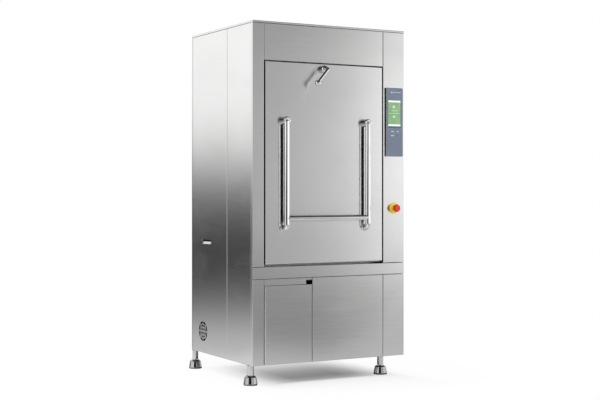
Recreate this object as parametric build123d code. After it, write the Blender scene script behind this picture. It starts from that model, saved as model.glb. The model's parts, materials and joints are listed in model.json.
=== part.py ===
from build123d import *
import os
from math import cos, radians, sin

# A laboratory glassware washer: a free-standing stainless cabinet on four legs, with a drop-down wash
# door, a control column on the right and a detergent bay at the lower left.
# Millimetres, +X to the right along the front, +Y to the back, +Z up. The origin is on the floor, under
# the middle of the outline.

# Cabinet
cabinet_width = 950.0
cabinet_depth = 780.0
body_height = 1816.0
leg_height = 104.0

# Sheet metal, joints between panels, and fits
sheet = 1.5
front_fold = 15.0
side_fold = 12.0
panel_joint = 2.0
edge_round = 2.5
set_in_gap = 0.3
running_gap = 0.06
turning_gap = 0.3

# Front layout
left_jamb_width = 68.0
control_column_width = 139.0
lower_bay_height = 456.0
mid_rail_height = 64.0
header_height = 196.0
lid_height = 10.0
side_seam_depth = 308.0

# Chassis of angle section
angle_leg = 30.0
angle_wall = 4.0
beam_inset = 95.0

# Legs and levelling feet
leg_radius = 17.5
leg_wall = 2.0
leg_side_inset = 14.0
leg_front_inset = 53.0
leg_back_inset = 20.0
leg_column_inset = 123.0
foot_top_radius = 31.0
foot_base_radius = 37.0
foot_height = 49.0
foot_spindle_radius = 8.0
foot_spindle_reach = 30.0
leg_plug_height = 14.0
foot_neck = 3.0
foot_rim = 8.0
foot_shoulder = 8.0

# Wash door
door_gap = 7.0
door_lip_clearance = 2.0
hinge_pin_radius = 6.0
hinge_pin_clearance = 3.0
hinge_pin_reach = 24.0
hinge_hub_radius = 18.0
hinge_hub_length = 30.0
bearing_height = 32.0
bearing_depth = 22.0
liner_lift = 8.0
liner_draft = 20.0
liner_corner = 30.0

# Door handle
handle_radius = 14.0
handle_wall = 2.0
handle_stand_off = 32.0
handle_half_span = 253.0
handle_bend = 22.0
handle_low = 192.0
handle_bar_rise = 248.0
handle_post_rise = 766.0
handle_post_radius = 21.0
handle_post_reach = 40.0
handle_post_round = 6.0
handle_tip_rise = 10.0

# Latch lever
lever_side = 16.0
lever_drop = 26.5
lever_lean = 40.0
lever_length = 107.0
lever_rod_radius = 8.0
lever_bend = 18.0
lever_out = 68.0
lever_hub_radius = 19.0
lever_hub_length = 26.0
lever_hub_round = 14.0
knob_radius = 16.0
knob_seat = 11.0
boss_radius = 15.0
boss_reach = 8.0
boss_flange_radius = 18.0
boss_flange = 4.0
boss_sleeve_radius = 11.0
spindle_radius = 7.0
spindle_end_radius = 5.5
cam_thickness = 5.0
cam_gap = 1.0
cam_length = 48.5
cam_half_width = 8.0
cam_hub_radius = 13.0
keeper_thickness = 4.0
keeper_height = 26.0
keeper_half_width = 32.0

# Service door, grip strip and detergent bay
service_door_width = 285.0
service_joint = 4.0
service_swing_gap = 0.6
service_pin_radius = 3.0
service_knuckle_gap = 0.5
service_neck_offset = 1.8
service_ear = 5.0
service_tab = 4.0
service_hinge_inset = 74.0
grip_strip_height = 38.0
grip_notch_width = 36.0
grip_notch_height = 25.0
bay_front_gap = 30.0
bay_depth = 340.0
dosing_pump_radius = 34.0
dosing_pump_depth = 36.0
dosing_pump_spacing = 110.0
dosing_pump_rise = 300.0
dosing_motor_radius = 20.0
dosing_motor_depth = 60.0

# Control column
fascia_left_inset = 17.0
fascia_width = 108.0
fascia_low = 1112.0
fascia_height = 382.0
fascia_depth = 12.0
fascia_round = 5.0
screen_width = 83.0
screen_height = 145.0
screen_rise = 168.0
screen_side_inset = 10.0
screen_depth = 3.0
fascia_window_depth = 4.0
fascia_section_rise = 162.0
fascia_groove = 1.5
control_box_depth = 90.0
estop_rise = 824.0
estop_side = 72.0
estop_plate_radius = 30.0
estop_plate = 4.0
estop_neck_radius = 17.0
estop_neck = 14.0
estop_barrel_radius = 11.0
estop_barrel = 24.0
estop_block = 34.0
estop_head_radius = 20.0
estop_head_depth = 17.0
estop_head_round = 8.0
estop_travel = 6.0
estop_stem_radius = 8.0
estop_stem_reach = 14.0

# Side panel pulls and the fan grille
pull_width = 130.0
pull_height = 24.0
pull_depth = 22.0
pull_scoop_rise = 14.0
pull_scoop_depth = 8.0
pull_scoop_wall = 2.5
pull_back_inset = 199.0
pull_rise = 633.0
vent_radius = 56.0
vent_slot = 12.0
vent_ring_pitch = 18.0
vent_rib = 6.0
vent_rib_pair_counts = (4, 4, 2)
vent_back_inset = 157.0
vent_rise = 123.5

# Cooling fan behind the grille
fan_size = 120.0
fan_depth = 38.0
fan_bore_radius = 57.0
fan_hub_radius = 22.0
fan_tip_gap = 2.0
fan_blade_count = 7
fan_blade_chord = 24.0
fan_blade_thickness = 2.0
fan_root_turn = 45.0
fan_tip_turn = 62.0
fan_blade_sink = 2.0
fan_spider = 6.0
fan_strut = 8.0
fan_pin_radius = 3.0
fan_rotor_depth = 24.0

# Wash chamber
chamber_wall = 2.0
chamber_side_inset = 47.0
chamber_bottom_inset = 56.0
chamber_top_inset = 64.0
chamber_back_room = 112.0
chamber_corner = 40.0
gasket_depth = 11.7
gasket_width = 16.0
gasket_margin = 4.0
front_plate_lap = 24.0
rail_ledge = 25.0
rail_upright = 30.0
rail_wall = 3.0
rail_end_gap = 30.0
rail_rises = (130.0, 520.0)

# Sump, pump and spray system
sump_radius = 110.0
sump_depth = 100.0
sump_wall = 2.0
sump_round = 18.0
sump_flange = 16.0
suction_offset = 72.0
suction_radius = 14.0
suction_bend = 40.0
suction_neck = 5.0
spigot_wall = 2.0
spigot_length = 20.0
strainer_margin = 8.0
strainer_thickness = 2.0
strainer_hole_radius = 5.0
strainer_ring_radii = (36.0, 60.0, 86.0)
strainer_ring_counts = (9, 15, 21)
heater_ring_radius = 82.0
heater_tube_radius = 5.0
pipe_radius = 14.0
pipe_wall = 2.0
pipe_bend = 40.0
pump_axis_height = 92.0
pump_volute_radius = 72.0
pump_volute_width = 40.0
pump_motor_radius = 58.0
pump_motor_length = 170.0
pump_foot_width = 110.0
pump_foot_length = 150.0
arm_wall_gap = 20.0
arm_root_half = 26.0
arm_tip_half = 15.0
arm_thickness = 16.0
arm_hub_radius = 32.0
arm_hub_height = 30.0
arm_clearance = 55.0
arm_jet_radius = 2.5
arm_jet_count = 6
arm_jet_depth = 4.0
arm_jet_start = 28.0
arm_collar_radius = 22.0
arm_collar = 6.0
riser_gap = 45.0
riser_side = 180.0
riser_rise = 60.0

# Drying blower, vent and rear connections
blower_radius = 92.0
blower_height = 90.0
blower_motor_radius = 48.0
blower_motor_height = 60.0
blower_outlet = 70.0
blower_side = 130.0
vent_collar_radius = 50.0
vent_collar_wall = 3.0
vent_collar_length = 70.0
vent_collar_flange = 15.0
vent_collar_inset = 150.0
connection_width = 300.0
connection_height = 190.0
connection_depth = 90.0
connection_low = 130.0
connection_side = -180.0
inlet_radius = 13.2
inlet_wall = 3.0
inlet_length = 40.0
inlet_spacing = 62.0
drain_radius = 20.0
drain_wall = 2.5
drain_length = 55.0
connection_row_rise = 120.0
drain_rise = 45.0
gland_radius = 11.0
gland_bore_radius = 6.0
gland_nut_radius = 15.0
gland_length = 22.0
gland_nut = 10.0


def span(first, second):
    return (min(first, second), max(first, second))


def shrink(limits, amount):
    return (limits[0] + amount, limits[1] - amount)


def block(x, y, z):
    middle = Pos((x[0] + x[1]) / 2, (y[0] + y[1]) / 2, (z[0] + z[1]) / 2)
    return middle * Box(x[1] - x[0], y[1] - y[0], z[1] - z[0])


def rod_x(x, y, z, radius):
    return Pos((x[0] + x[1]) / 2, y, z) * Rot(Y=90) * Cylinder(radius, x[1] - x[0])


def rod_y(x, y, z, radius):
    return Pos(x, (y[0] + y[1]) / 2, z) * Rot(X=90) * Cylinder(radius, y[1] - y[0])


def rod_z(x, y, z, radius):
    return Pos(x, y, (z[0] + z[1]) / 2) * Cylinder(radius, z[1] - z[0])


# A sketch drawn in x and z, given a depth along y.
def slab(sketch, y):
    plane = Plane((0, y[1], 0), x_dir=(1, 0, 0), z_dir=(0, -1, 0))
    return extrude(plane * sketch, amount=y[1] - y[0])


# A sketch drawn in y and z, given a depth along x.
def side_slab(sketch, x):
    plane = Plane((x[0], 0, 0), x_dir=(0, 1, 0), z_dir=(1, 0, 0))
    return extrude(plane * sketch, amount=x[1] - x[0])


# A folded sheet pan: one closed face with rounded edges, four folds, and open behind.
# The axis is 0, 1 or 2 for x, y or z, and the closed face is at its low or its high end.
def pan(x, y, z, axis, closed_low):
    spans = [x, y, z]
    hollow = [shrink(limits, sheet) for limits in spans]
    low, high = spans[axis]
    hollow[axis] = (low + sheet, high + sheet) if closed_low else (low - sheet, high - sheet)
    outer = block(*spans)
    ordered = outer.faces().sort_by((Axis.X, Axis.Y, Axis.Z)[axis])
    shown = ordered[0] if closed_low else ordered[-1]
    return fillet(shown.edges(), edge_round) - block(*hollow)


# A round tube along a path of straight runs and bends.
def tube(points, bend, radius, wall):
    path = FilletPolyline(*points, radius=bend) if len(points) > 2 else Line(*points)
    start = Plane(path @ 0, z_dir=path % 0)
    return sweep(start * (Circle(radius) - Circle(radius - wall)), path=path)


# Main planes
left_reach = max(0, foot_base_radius - leg_side_inset)
x_left = (left_reach - cabinet_width) / 2
x_right = x_left + cabinet_width
x_middle = (x_left + x_right) / 2
knob_reach = lever_out + knob_radius
estop_reach = estop_plate + estop_neck + estop_travel + running_gap + estop_head_depth
front_reach = max(knob_reach, handle_post_reach, handle_stand_off + handle_radius, estop_reach)
back_reach = max(0, foot_base_radius - leg_back_inset)
y_front = (front_reach - cabinet_depth - back_reach) / 2
y_back = y_front + cabinet_depth
y_frame_front = y_front + front_fold
y_frame_back = y_back - side_fold
z_low = leg_height
z_top = leg_height + body_height
z_lid_low = z_top - lid_height
z_rail_low = z_low + lower_bay_height
z_rail_high = z_rail_low + mid_rail_height
z_header_low = z_lid_low - header_height
x_open_left = x_left + left_jamb_width
x_open_right = x_right - control_column_width
half_joint = panel_joint / 2
frame_x = (x_left + side_fold, x_right - side_fold)
frame_y = (y_frame_front, y_frame_back)
frame_z = (z_low, z_top - sheet)

# Wash door planes
door_thickness = 2 * (front_fold + angle_wall + hinge_pin_clearance + hinge_pin_radius)
door_x = (x_open_left + door_gap, x_open_right - door_gap)
door_middle = (door_x[0] + door_x[1]) / 2
door_y = (y_front, y_front + door_thickness)
door_z = (z_rail_high + door_gap, z_header_low - door_gap)
door_lip_radius = door_thickness / 2 + door_gap - door_lip_clearance
hinge_y = y_front + door_thickness / 2
hinge_z = door_z[0] + door_thickness / 2
lever_x = door_middle - lever_side
lever_z = door_z[1] - lever_drop

# Chamber planes
mouth_y = door_y[1] + turning_gap + gasket_depth
chamber_y = (mouth_y, y_back - chamber_back_room)
chamber_x = (x_open_left + chamber_side_inset, x_open_right - chamber_side_inset)
chamber_z = (z_rail_high + chamber_bottom_inset, z_header_low - chamber_top_inset)
chamber_middle_x = (chamber_x[0] + chamber_x[1]) / 2
chamber_middle_y = (chamber_y[0] + chamber_y[1]) / 2
arm_reach = min(chamber_middle_x - chamber_x[0], chamber_middle_y - chamber_y[0]) - arm_wall_gap
chamber_floor_under = chamber_z[0] - chamber_wall
chamber_roof_over = chamber_z[1] + chamber_wall
z_floor_pan = z_low + angle_wall + sheet

# Service door planes
service_x = (x_open_left + service_joint - half_joint, x_open_left + service_joint + service_door_width)
service_z = (z_low + half_joint, z_rail_low - grip_strip_height)
service_pivot = (front_fold - service_swing_gap) / 2
service_knuckle_radius = service_pivot - sheet - service_knuckle_gap
service_axis_x = service_x[0] + service_pivot
service_axis_y = y_front + service_pivot
service_hinge_heights = (service_z[0] + service_hinge_inset, service_z[1] - service_hinge_inset)

pieces = {}


# Chassis: a ring of angle section whose flange lies at its low or its high edge.
def angle_ring(low, high, flange_low):
    shift = angle_wall if flange_low else -angle_wall
    ring = block(frame_x, frame_y, (low, high))
    inside = block(shrink(frame_x, angle_wall), shrink(frame_y, angle_wall), (low + shift, high + shift))
    opening = block(shrink(frame_x, angle_leg), shrink(frame_y, angle_leg), (low, high))
    return ring - inside - opening


# An upright with its corner at x, y and its legs turned towards the given signs.
def upright(x, y, turn_x, turn_y, z):
    across = block(span(x, x + turn_x * angle_leg), span(y, y + turn_y * angle_wall), z)
    along = block(span(x, x + turn_x * angle_wall), span(y, y + turn_y * angle_leg), z)
    return across + along


post_right = x_open_right + panel_joint + angle_leg
chassis = angle_ring(frame_z[0], frame_z[0] + angle_leg, True)
chassis += angle_ring(frame_z[1] - angle_leg, frame_z[1], False)
chassis += upright(frame_x[0], frame_y[0], 1, 1, frame_z)
chassis += upright(frame_x[1], frame_y[0], -1, 1, frame_z)
chassis += upright(frame_x[0], frame_y[1], 1, -1, frame_z)
chassis += upright(frame_x[1], frame_y[1], -1, -1, frame_z)
chassis += upright(post_right, frame_y[0], -1, 1, frame_z)
rail_beam_z = (z_rail_low - angle_leg / 2, z_rail_low + angle_leg / 2)
chassis += block(frame_x, (frame_y[0], frame_y[0] + angle_wall), rail_beam_z)
side_rail_z = (chamber_floor_under - angle_leg, chamber_floor_under)
for rail_x in (span(frame_x[0], frame_x[0] + angle_wall), span(frame_x[1] - angle_wall, frame_x[1])):
    chassis += block(rail_x, frame_y, side_rail_z)
for beam_y in (chamber_y[0] + beam_inset, chamber_y[1] - beam_inset - angle_leg):
    chassis += block(frame_x, (beam_y, beam_y + angle_wall), side_rail_z)
    chassis += block(frame_x, (beam_y, beam_y + angle_leg), (side_rail_z[1] - angle_wall, side_rail_z[1]))
pieces["chassis_frame"] = chassis

# Floor pan on the flanges of the lower ring
pieces["floor_pan"] = block(
    shrink(frame_x, angle_wall + set_in_gap),
    shrink(frame_y, angle_wall + set_in_gap),
    (z_low + angle_wall, z_floor_pan),
)
for corner_x in frame_x:
    for corner_y in frame_y:
        reach = angle_leg + set_in_gap
        pieces["floor_pan"] -= block(
            (corner_x - reach, corner_x + reach), (corner_y - reach, corner_y + reach), frame_z
        )
pieces["floor_pan"] -= block(
    (post_right - angle_leg - set_in_gap, post_right + set_in_gap),
    (frame_y[0], frame_y[0] + angle_leg + set_in_gap),
    frame_z,
)

# Legs: open tubes with a bored plug at the foot end
leg_places = {
    "front_left": (x_left + leg_side_inset, y_front + leg_front_inset),
    "front_right": (x_right - leg_column_inset, y_front + leg_front_inset),
    "rear_left": (x_left + leg_side_inset, y_back - leg_back_inset),
    "rear_right": (x_right - leg_column_inset, y_back - leg_back_inset),
}
leg_foot_z = foot_height + foot_neck
legs = []
for leg_x, leg_y in leg_places.values():
    leg = rod_z(leg_x, leg_y, (leg_foot_z, z_low), leg_radius)
    leg -= rod_z(leg_x, leg_y, (leg_foot_z + leg_plug_height, z_low), leg_radius - leg_wall)
    leg -= rod_z(leg_x, leg_y, (leg_foot_z, z_low), foot_spindle_radius + running_gap)
    legs.append(leg)
pieces["leg_tubes"] = Compound(children=legs)

# Levelling feet: a turned cone with a neck and a spindle that runs up into the leg
for place, (leg_x, leg_y) in leg_places.items():
    outline = Polyline(
        (0, 0),
        (foot_base_radius, 0),
        (foot_base_radius, foot_rim),
        (foot_top_radius, foot_height - foot_shoulder),
        (foot_top_radius - foot_shoulder, foot_height),
        (foot_spindle_radius, foot_height),
        (foot_spindle_radius, leg_foot_z + foot_spindle_reach),
        (0, leg_foot_z + foot_spindle_reach),
        close=True,
    )
    foot = revolve(Plane.XZ * make_face(outline), Axis.Z)
    pieces["foot_" + place] = Pos(leg_x, leg_y, 0) * foot

# Front panels
jamb_x = (x_left, x_open_left - half_joint)
column_x = (x_open_right + half_joint, x_right)
fold_y = (y_front, y_frame_front)
upper_z = (z_rail_high + half_joint, z_lid_low - half_joint)
lower_z = (z_low + half_joint, z_rail_low - half_joint)
pieces["upper_left_jamb"] = pan(jamb_x, fold_y, upper_z, 1, True)
pieces["lower_left_jamb"] = pan(jamb_x, fold_y, lower_z, 1, True)
pieces["lower_control_column"] = pan(column_x, fold_y, lower_z, 1, True)
header_x = (x_open_left + half_joint, x_open_right - half_joint)
pieces["header_panel"] = pan(header_x, fold_y, (z_header_low, z_lid_low - half_joint), 1, True)
mid_rail_z = (z_rail_low + half_joint, z_rail_high - half_joint)
pieces["mid_rail"] = pan((x_left, x_right), fold_y, mid_rail_z, 1, True)
service_panel_x = (service_x[1] + service_joint, x_open_right - half_joint)
pieces["service_panel"] = pan(service_panel_x, fold_y, lower_z, 1, True)

# Grip strip over the service door, with a finger notch at its lower right corner
strip_x = (x_open_left + half_joint, service_x[1])
strip_z = (service_z[1] + panel_joint, z_rail_low - half_joint)
strip = pan(strip_x, fold_y, strip_z, 1, True)
notch_z = (service_z[1], strip_z[0] + grip_notch_height)
strip -= block((strip_x[1] - grip_notch_width, strip_x[1] + sheet), fold_y, notch_z)
pieces["grip_strip"] = strip

# Control column with the holes for the stop button and the screen leads
estop_x = x_right - control_column_width + estop_side
estop_z = z_low + estop_rise
fascia_x = (x_open_right + fascia_left_inset, x_open_right + fascia_left_inset + fascia_width)
fascia_z = (z_low + fascia_low, z_low + fascia_low + fascia_height)
fascia_middle_x = (fascia_x[0] + fascia_x[1]) / 2
fascia_middle_z = (fascia_z[0] + fascia_z[1]) / 2
column = pan(column_x, fold_y, upper_z, 1, True)
column -= rod_y(estop_x, (y_front, y_front + sheet), estop_z, estop_barrel_radius + set_in_gap)
pieces["upper_control_column"] = column

# Control fascia with a window for the screen and a groove between its two fields
fascia_body = block(fascia_x, (y_front - fascia_depth, y_front), fascia_z)
fascia_front = fascia_body.faces().sort_by(Axis.Y)[0]
fascia_body = fillet(fascia_front.edges(), fascia_round)
screen_x = (fascia_x[0] + screen_side_inset, fascia_x[0] + screen_side_inset + screen_width)
screen_z = (fascia_z[0] + screen_rise, fascia_z[0] + screen_rise + screen_height)
window_y = (y_front - fascia_depth, y_front - fascia_depth + fascia_window_depth)
fascia_body -= block(screen_x, window_y, screen_z)
groove_z = fascia_z[0] + fascia_section_rise
fascia_body -= block(
    shrink(fascia_x, screen_side_inset),
    (y_front - fascia_depth, y_front - fascia_depth + fascia_groove),
    (groove_z - fascia_groove / 2, groove_z + fascia_groove / 2),
)
pieces["control_fascia"] = fascia_body
pieces["touch_screen"] = block(
    shrink(screen_x, set_in_gap), (window_y[1] - screen_depth, window_y[1]), shrink(screen_z, set_in_gap)
)
control_box_x = (post_right - angle_wall, frame_x[1])
control_box_y = (frame_y[0] + angle_leg, frame_y[0] + angle_leg + control_box_depth)
control_box = block(control_box_x, control_box_y, fascia_z)
pieces["control_box"] = fillet(control_box.edges().filter_by(Axis.Z), edge_round)

# Emergency stop: a fixed plate, neck and barrel with its contact block, and a sliding mushroom head
plate_y = y_front - estop_plate
neck_y = plate_y - estop_neck
collar = rod_y(estop_x, (plate_y, y_front), estop_z, estop_plate_radius)
collar += rod_y(estop_x, (neck_y, plate_y), estop_z, estop_neck_radius)
collar += rod_y(estop_x, (y_front, y_front + estop_barrel), estop_z, estop_barrel_radius)
block_half = estop_block / 2
collar += block(
    (estop_x - block_half, estop_x + block_half),
    (y_front + estop_barrel, y_front + estop_barrel + estop_block),
    (estop_z - block_half, estop_z + block_half),
)
stem_y = neck_y + estop_stem_reach
collar -= rod_y(estop_x, (neck_y, stem_y + estop_travel), estop_z, estop_stem_radius + running_gap)
pieces["estop_collar"] = collar

head_back = neck_y - estop_travel - running_gap
head_front = head_back - estop_head_depth
head = rod_y(0, (head_front, head_back), 0, estop_head_radius)
head = fillet(head.edges().sort_by(Axis.Y)[0], estop_head_round)
head += rod_y(0, (head_back, stem_y - estop_travel), 0, estop_stem_radius)
pieces["estop_head"] = Pos(estop_x, 0, estop_z) * head

# Side panels, split by an upright seam
side_z = (z_low + half_joint, z_lid_low - half_joint)
seam_y = y_front + side_seam_depth
front_side_y = (y_frame_front + panel_joint, seam_y - half_joint)
rear_side_y = (seam_y + half_joint, y_frame_back - panel_joint)
left_x = (x_left, frame_x[0])
right_x = (frame_x[1], x_right)
pull_y = y_back - pull_back_inset
pull_z = z_low + pull_rise
pull_slot = Pos(pull_y, pull_z) * SlotOverall(pull_width, pull_height)
vent_y = y_back - vent_back_inset
fan_z = z_low + vent_rise


# The fan grille: rings of curved slots with straight ribs across them.
def grille_sketch():
    rings = []
    for number, pairs in enumerate(vent_rib_pair_counts):
        ring_radius = vent_radius - number * vent_ring_pitch
        ring = Circle(ring_radius) - Circle(ring_radius - vent_slot)
        for turn in range(pairs):
            ring -= Rot(Z=180 * turn / pairs) * Rectangle(3 * vent_radius, vent_rib)
        rings.append(ring)
    return rings


pieces["left_front_side_panel"] = pan(left_x, front_side_y, side_z, 0, True)
pieces["right_front_side_panel"] = pan(right_x, front_side_y, side_z, 0, False)
left_rear = pan(left_x, rear_side_y, side_z, 0, True)
left_skin = (x_left, x_left + sheet)
left_rear -= side_slab(pull_slot, left_skin)
for ring in grille_sketch():
    left_rear -= side_slab(Pos(vent_y, fan_z) * ring, left_skin)
pieces["left_rear_side_panel"] = left_rear
right_rear = pan(right_x, rear_side_y, side_z, 0, False)
right_rear -= side_slab(pull_slot, (x_right - sheet, x_right))
pieces["right_rear_side_panel"] = right_rear

# Pull cups behind the two slots, with a steep lip that rises to a ledge inside the cup
cup_x = (left_skin[1], left_skin[1] + pull_depth)


# The space under the cup's lip and ledge, lowered by a drop.
def under_scoop(drop):
    front_z = pull_z - pull_height / 2 - drop
    below_z = front_z - pull_height
    corners = (
        (cup_x[0], below_z),
        (cup_x[0], front_z),
        (cup_x[0] + pull_scoop_depth, front_z + pull_scoop_rise),
        (cup_x[1], front_z + pull_scoop_rise),
        (cup_x[1], below_z),
    )
    return slab(make_face(Polyline(*corners, close=True)), (pull_y - pull_width, pull_y + pull_width))


cup_outer = Pos(pull_y, pull_z) * SlotOverall(pull_width + 2 * sheet, pull_height + 2 * sheet)
left_cup = side_slab(cup_outer, cup_x) - under_scoop(pull_scoop_wall)
left_cup -= side_slab(pull_slot, (cup_x[0], cup_x[1] - sheet)) - under_scoop(0)
pieces["side_pull_cups"] = Compound(children=[left_cup, mirror(left_cup, about=Plane.YZ.offset(x_middle))])

# Back panel with its connection recess
connection_middle = x_middle + connection_side
connection_x = (connection_middle - connection_width / 2, connection_middle + connection_width / 2)
connection_z = (z_low + connection_low, z_low + connection_low + connection_height)
back = pan((x_left, x_right), (y_frame_back, y_back), side_z, 1, False)
back -= block(connection_x, (y_frame_back, y_back), connection_z)
pieces["back_panel"] = back
bay_back_y = (y_back - sheet - connection_depth, y_back - sheet)
recess = block(
    (connection_x[0] - sheet, connection_x[1] + sheet),
    bay_back_y,
    (connection_z[0] - sheet, connection_z[1] + sheet),
)
recess -= block(connection_x, (bay_back_y[0] + sheet, bay_back_y[1]), connection_z)
pieces["connection_recess"] = recess

# Water inlets, drain and cable gland inside the recess
recess_wall = bay_back_y[0] + sheet
inlet_y = (recess_wall, recess_wall + inlet_length)
inlet_z = connection_z[0] + connection_row_rise
drain_z = connection_z[0] + drain_rise
connections = []
for number in (-1, 0, 1):
    inlet_x = connection_middle + number * inlet_spacing
    inlet = rod_y(inlet_x, inlet_y, inlet_z, inlet_radius)
    inlet -= rod_y(inlet_x, inlet_y, inlet_z, inlet_radius - inlet_wall)
    connections.append(inlet)
drain_x = connection_middle - inlet_spacing
drain_y = (recess_wall, recess_wall + drain_length)
drain = rod_y(drain_x, drain_y, drain_z, drain_radius)
drain -= rod_y(drain_x, drain_y, drain_z, drain_radius - drain_wall)
connections.append(drain)
gland_x = connection_middle + inlet_spacing
gland_y = (recess_wall, recess_wall + gland_length)
gland = rod_y(gland_x, gland_y, drain_z, gland_radius)
gland_hexagon = Pos(gland_x, drain_z) * RegularPolygon(gland_nut_radius, 6)
gland += slab(gland_hexagon, (recess_wall, recess_wall + gland_nut))
gland -= rod_y(gland_x, gland_y, drain_z, gland_bore_radius)
connections.append(gland)
pieces["rear_connections"] = Compound(children=connections)

# Lid and the vent collar set in it
collar_y = y_back - vent_collar_inset
collar_outer = vent_collar_radius + vent_collar_wall
lid = pan((x_left, x_right), (y_front, y_back), (z_lid_low, z_top), 2, False)
lid -= rod_z(chamber_middle_x, collar_y, (z_top - sheet, z_top), collar_outer + set_in_gap)
pieces["top_cover"] = lid
vent = rod_z(chamber_middle_x, collar_y, (z_top - vent_collar_length, z_top), collar_outer)
flange_z = (z_top - sheet - vent_collar_wall, z_top - sheet)
vent += rod_z(chamber_middle_x, collar_y, flange_z, collar_outer + vent_collar_flange)
vent -= rod_z(chamber_middle_x, collar_y, (z_top - vent_collar_length, z_top), vent_collar_radius)
pieces["vent_collar"] = vent


# A rounded rectangle in x and z around the chamber mouth, grown by a margin.
def mouth_sketch(margin):
    width = chamber_x[1] - chamber_x[0] + 2 * margin
    height = chamber_z[1] - chamber_z[0] + 2 * margin
    middle_z = (chamber_z[0] + chamber_z[1]) / 2
    return Pos(chamber_middle_x, middle_z) * RectangleRounded(width, height, chamber_corner + margin)


# Wash chamber: a round-cornered box with a front plate that closes the door opening, a sump hole and a
# feed hole
chamber = slab(mouth_sketch(chamber_wall), (chamber_y[0], chamber_y[1] + chamber_wall))
chamber += block(
    (x_open_left - front_plate_lap, x_open_right + front_plate_lap),
    (chamber_y[0], chamber_y[0] + chamber_wall),
    (z_rail_high - front_plate_lap, z_header_low + front_plate_lap),
)
chamber -= slab(mouth_sketch(0), chamber_y)
sump_hole_z = (chamber_floor_under, chamber_z[0])
chamber -= rod_z(chamber_middle_x, chamber_middle_y, sump_hole_z, sump_radius)
roof_z = (chamber_z[1], chamber_roof_over)
chamber -= rod_z(chamber_middle_x, chamber_middle_y, roof_z, pipe_radius + set_in_gap)
pieces["wash_chamber"] = chamber

gasket = slab(mouth_sketch(gasket_margin + gasket_width), (chamber_y[0] - gasket_depth, chamber_y[0]))
gasket -= slab(mouth_sketch(gasket_margin), (chamber_y[0] - gasket_depth, chamber_y[0]))
pieces["door_gasket"] = gasket

# Rack rails on the chamber walls, at two heights
rails = []
rail_y = shrink(chamber_y, rail_end_gap)
for rise in rail_rises:
    ledge_z = (chamber_z[0] + rise, chamber_z[0] + rise + rail_wall)
    web_z = (ledge_z[0], ledge_z[0] + rail_upright)
    for wall_x, inward in ((chamber_x[0], 1), (chamber_x[1], -1)):
        rail = block(span(wall_x, wall_x + inward * rail_ledge), rail_y, ledge_z)
        rail += block(span(wall_x, wall_x + inward * rail_wall), rail_y, web_z)
        rails.append(rail)
pieces["rack_rails"] = Compound(children=rails)

# Sump bowl under the chamber floor, with a feed hole and a suction spigot
sump_low = chamber_floor_under - sump_depth
sump_z = (sump_low, chamber_floor_under)
bowl_outer = rod_z(chamber_middle_x, chamber_middle_y, sump_z, sump_radius + sump_wall)
bowl_outer = fillet(bowl_outer.edges().sort_by(Axis.Z)[0], sump_round + sump_wall)
bowl_inner = rod_z(
    chamber_middle_x, chamber_middle_y, (sump_low + sump_wall, chamber_floor_under), sump_radius
)
bowl_inner = fillet(bowl_inner.edges().sort_by(Axis.Z)[0], sump_round)
flange_low = chamber_floor_under - sump_wall
bowl = bowl_outer + rod_z(
    chamber_middle_x, chamber_middle_y, (flange_low, chamber_floor_under), sump_radius + sump_flange
)
suction_y = chamber_middle_y - suction_offset
suction_z = (sump_low - spigot_length, sump_low + sump_wall)
bowl += rod_z(chamber_middle_x, suction_y, suction_z, suction_radius)
bowl -= bowl_inner
bowl -= rod_z(chamber_middle_x, suction_y, suction_z, suction_radius - spigot_wall)
bowl -= rod_z(chamber_middle_x, chamber_middle_y, suction_z, pipe_radius + set_in_gap)
pieces["sump_bowl"] = bowl

# Heating ring lying on the sump floor
heater_z = sump_low + sump_wall + heater_tube_radius + set_in_gap
pieces["heating_ring"] = Pos(chamber_middle_x, chamber_middle_y, heater_z) * Torus(
    heater_ring_radius, heater_tube_radius
)

# Strainer plate over the sump, with rings of holes
strainer = Circle(sump_radius + strainer_margin) - Circle(pipe_radius + set_in_gap)
for ring_radius, count in zip(strainer_ring_radii, strainer_ring_counts):
    strainer -= PolarLocations(ring_radius, count) * Circle(strainer_hole_radius)
strainer_plane = Plane((chamber_middle_x, chamber_middle_y, chamber_z[0]))
pieces["sump_strainer"] = extrude(strainer_plane * strainer, amount=strainer_thickness)

# Circulation pump under the sump: volute, motor, foot and three spigots
pump_z = z_floor_pan + pump_axis_height
volute_y = (chamber_middle_y - pump_volute_width / 2, chamber_middle_y + pump_volute_width / 2)
pump = rod_y(chamber_middle_x, volute_y, pump_z, pump_volute_radius)
motor_y = (volute_y[1], volute_y[1] + pump_motor_length)
pump += rod_y(chamber_middle_x, motor_y, pump_z, pump_motor_radius)
pump += block(
    (chamber_middle_x - pump_foot_width / 2, chamber_middle_x + pump_foot_width / 2),
    (motor_y[1] - pump_foot_length, motor_y[1]),
    (z_floor_pan, pump_z),
)
feed_start = pump_z + pump_volute_radius + spigot_length
pump += rod_z(chamber_middle_x, chamber_middle_y, (pump_z, feed_start), pipe_radius)
suction_front = volute_y[0] - suction_neck
pump += rod_y(chamber_middle_x, (suction_front, volute_y[0]), pump_z, suction_radius)
riser_start = chamber_middle_x + pump_volute_radius + spigot_length
pump += rod_x((chamber_middle_x, riser_start), chamber_middle_y, pump_z, pipe_radius)
pieces["circulation_pump"] = pump

# Spray arm places, and the pipes that feed and carry them
lower_arm_z = (chamber_z[0] + arm_clearance, chamber_z[0] + arm_clearance + arm_hub_height)
upper_arm_z = (chamber_z[1] - arm_clearance - arm_hub_height, chamber_z[1] - arm_clearance)


# The collars above and below a hub, which keep an arm in place on its pipe.
def arm_collars(hub_z):
    low_z = (hub_z[0] - turning_gap - arm_collar, hub_z[0] - turning_gap)
    high_z = (hub_z[1] + turning_gap, hub_z[1] + turning_gap + arm_collar)
    return [rod_z(chamber_middle_x, chamber_middle_y, z, arm_collar_radius) for z in (low_z, high_z)]


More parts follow.
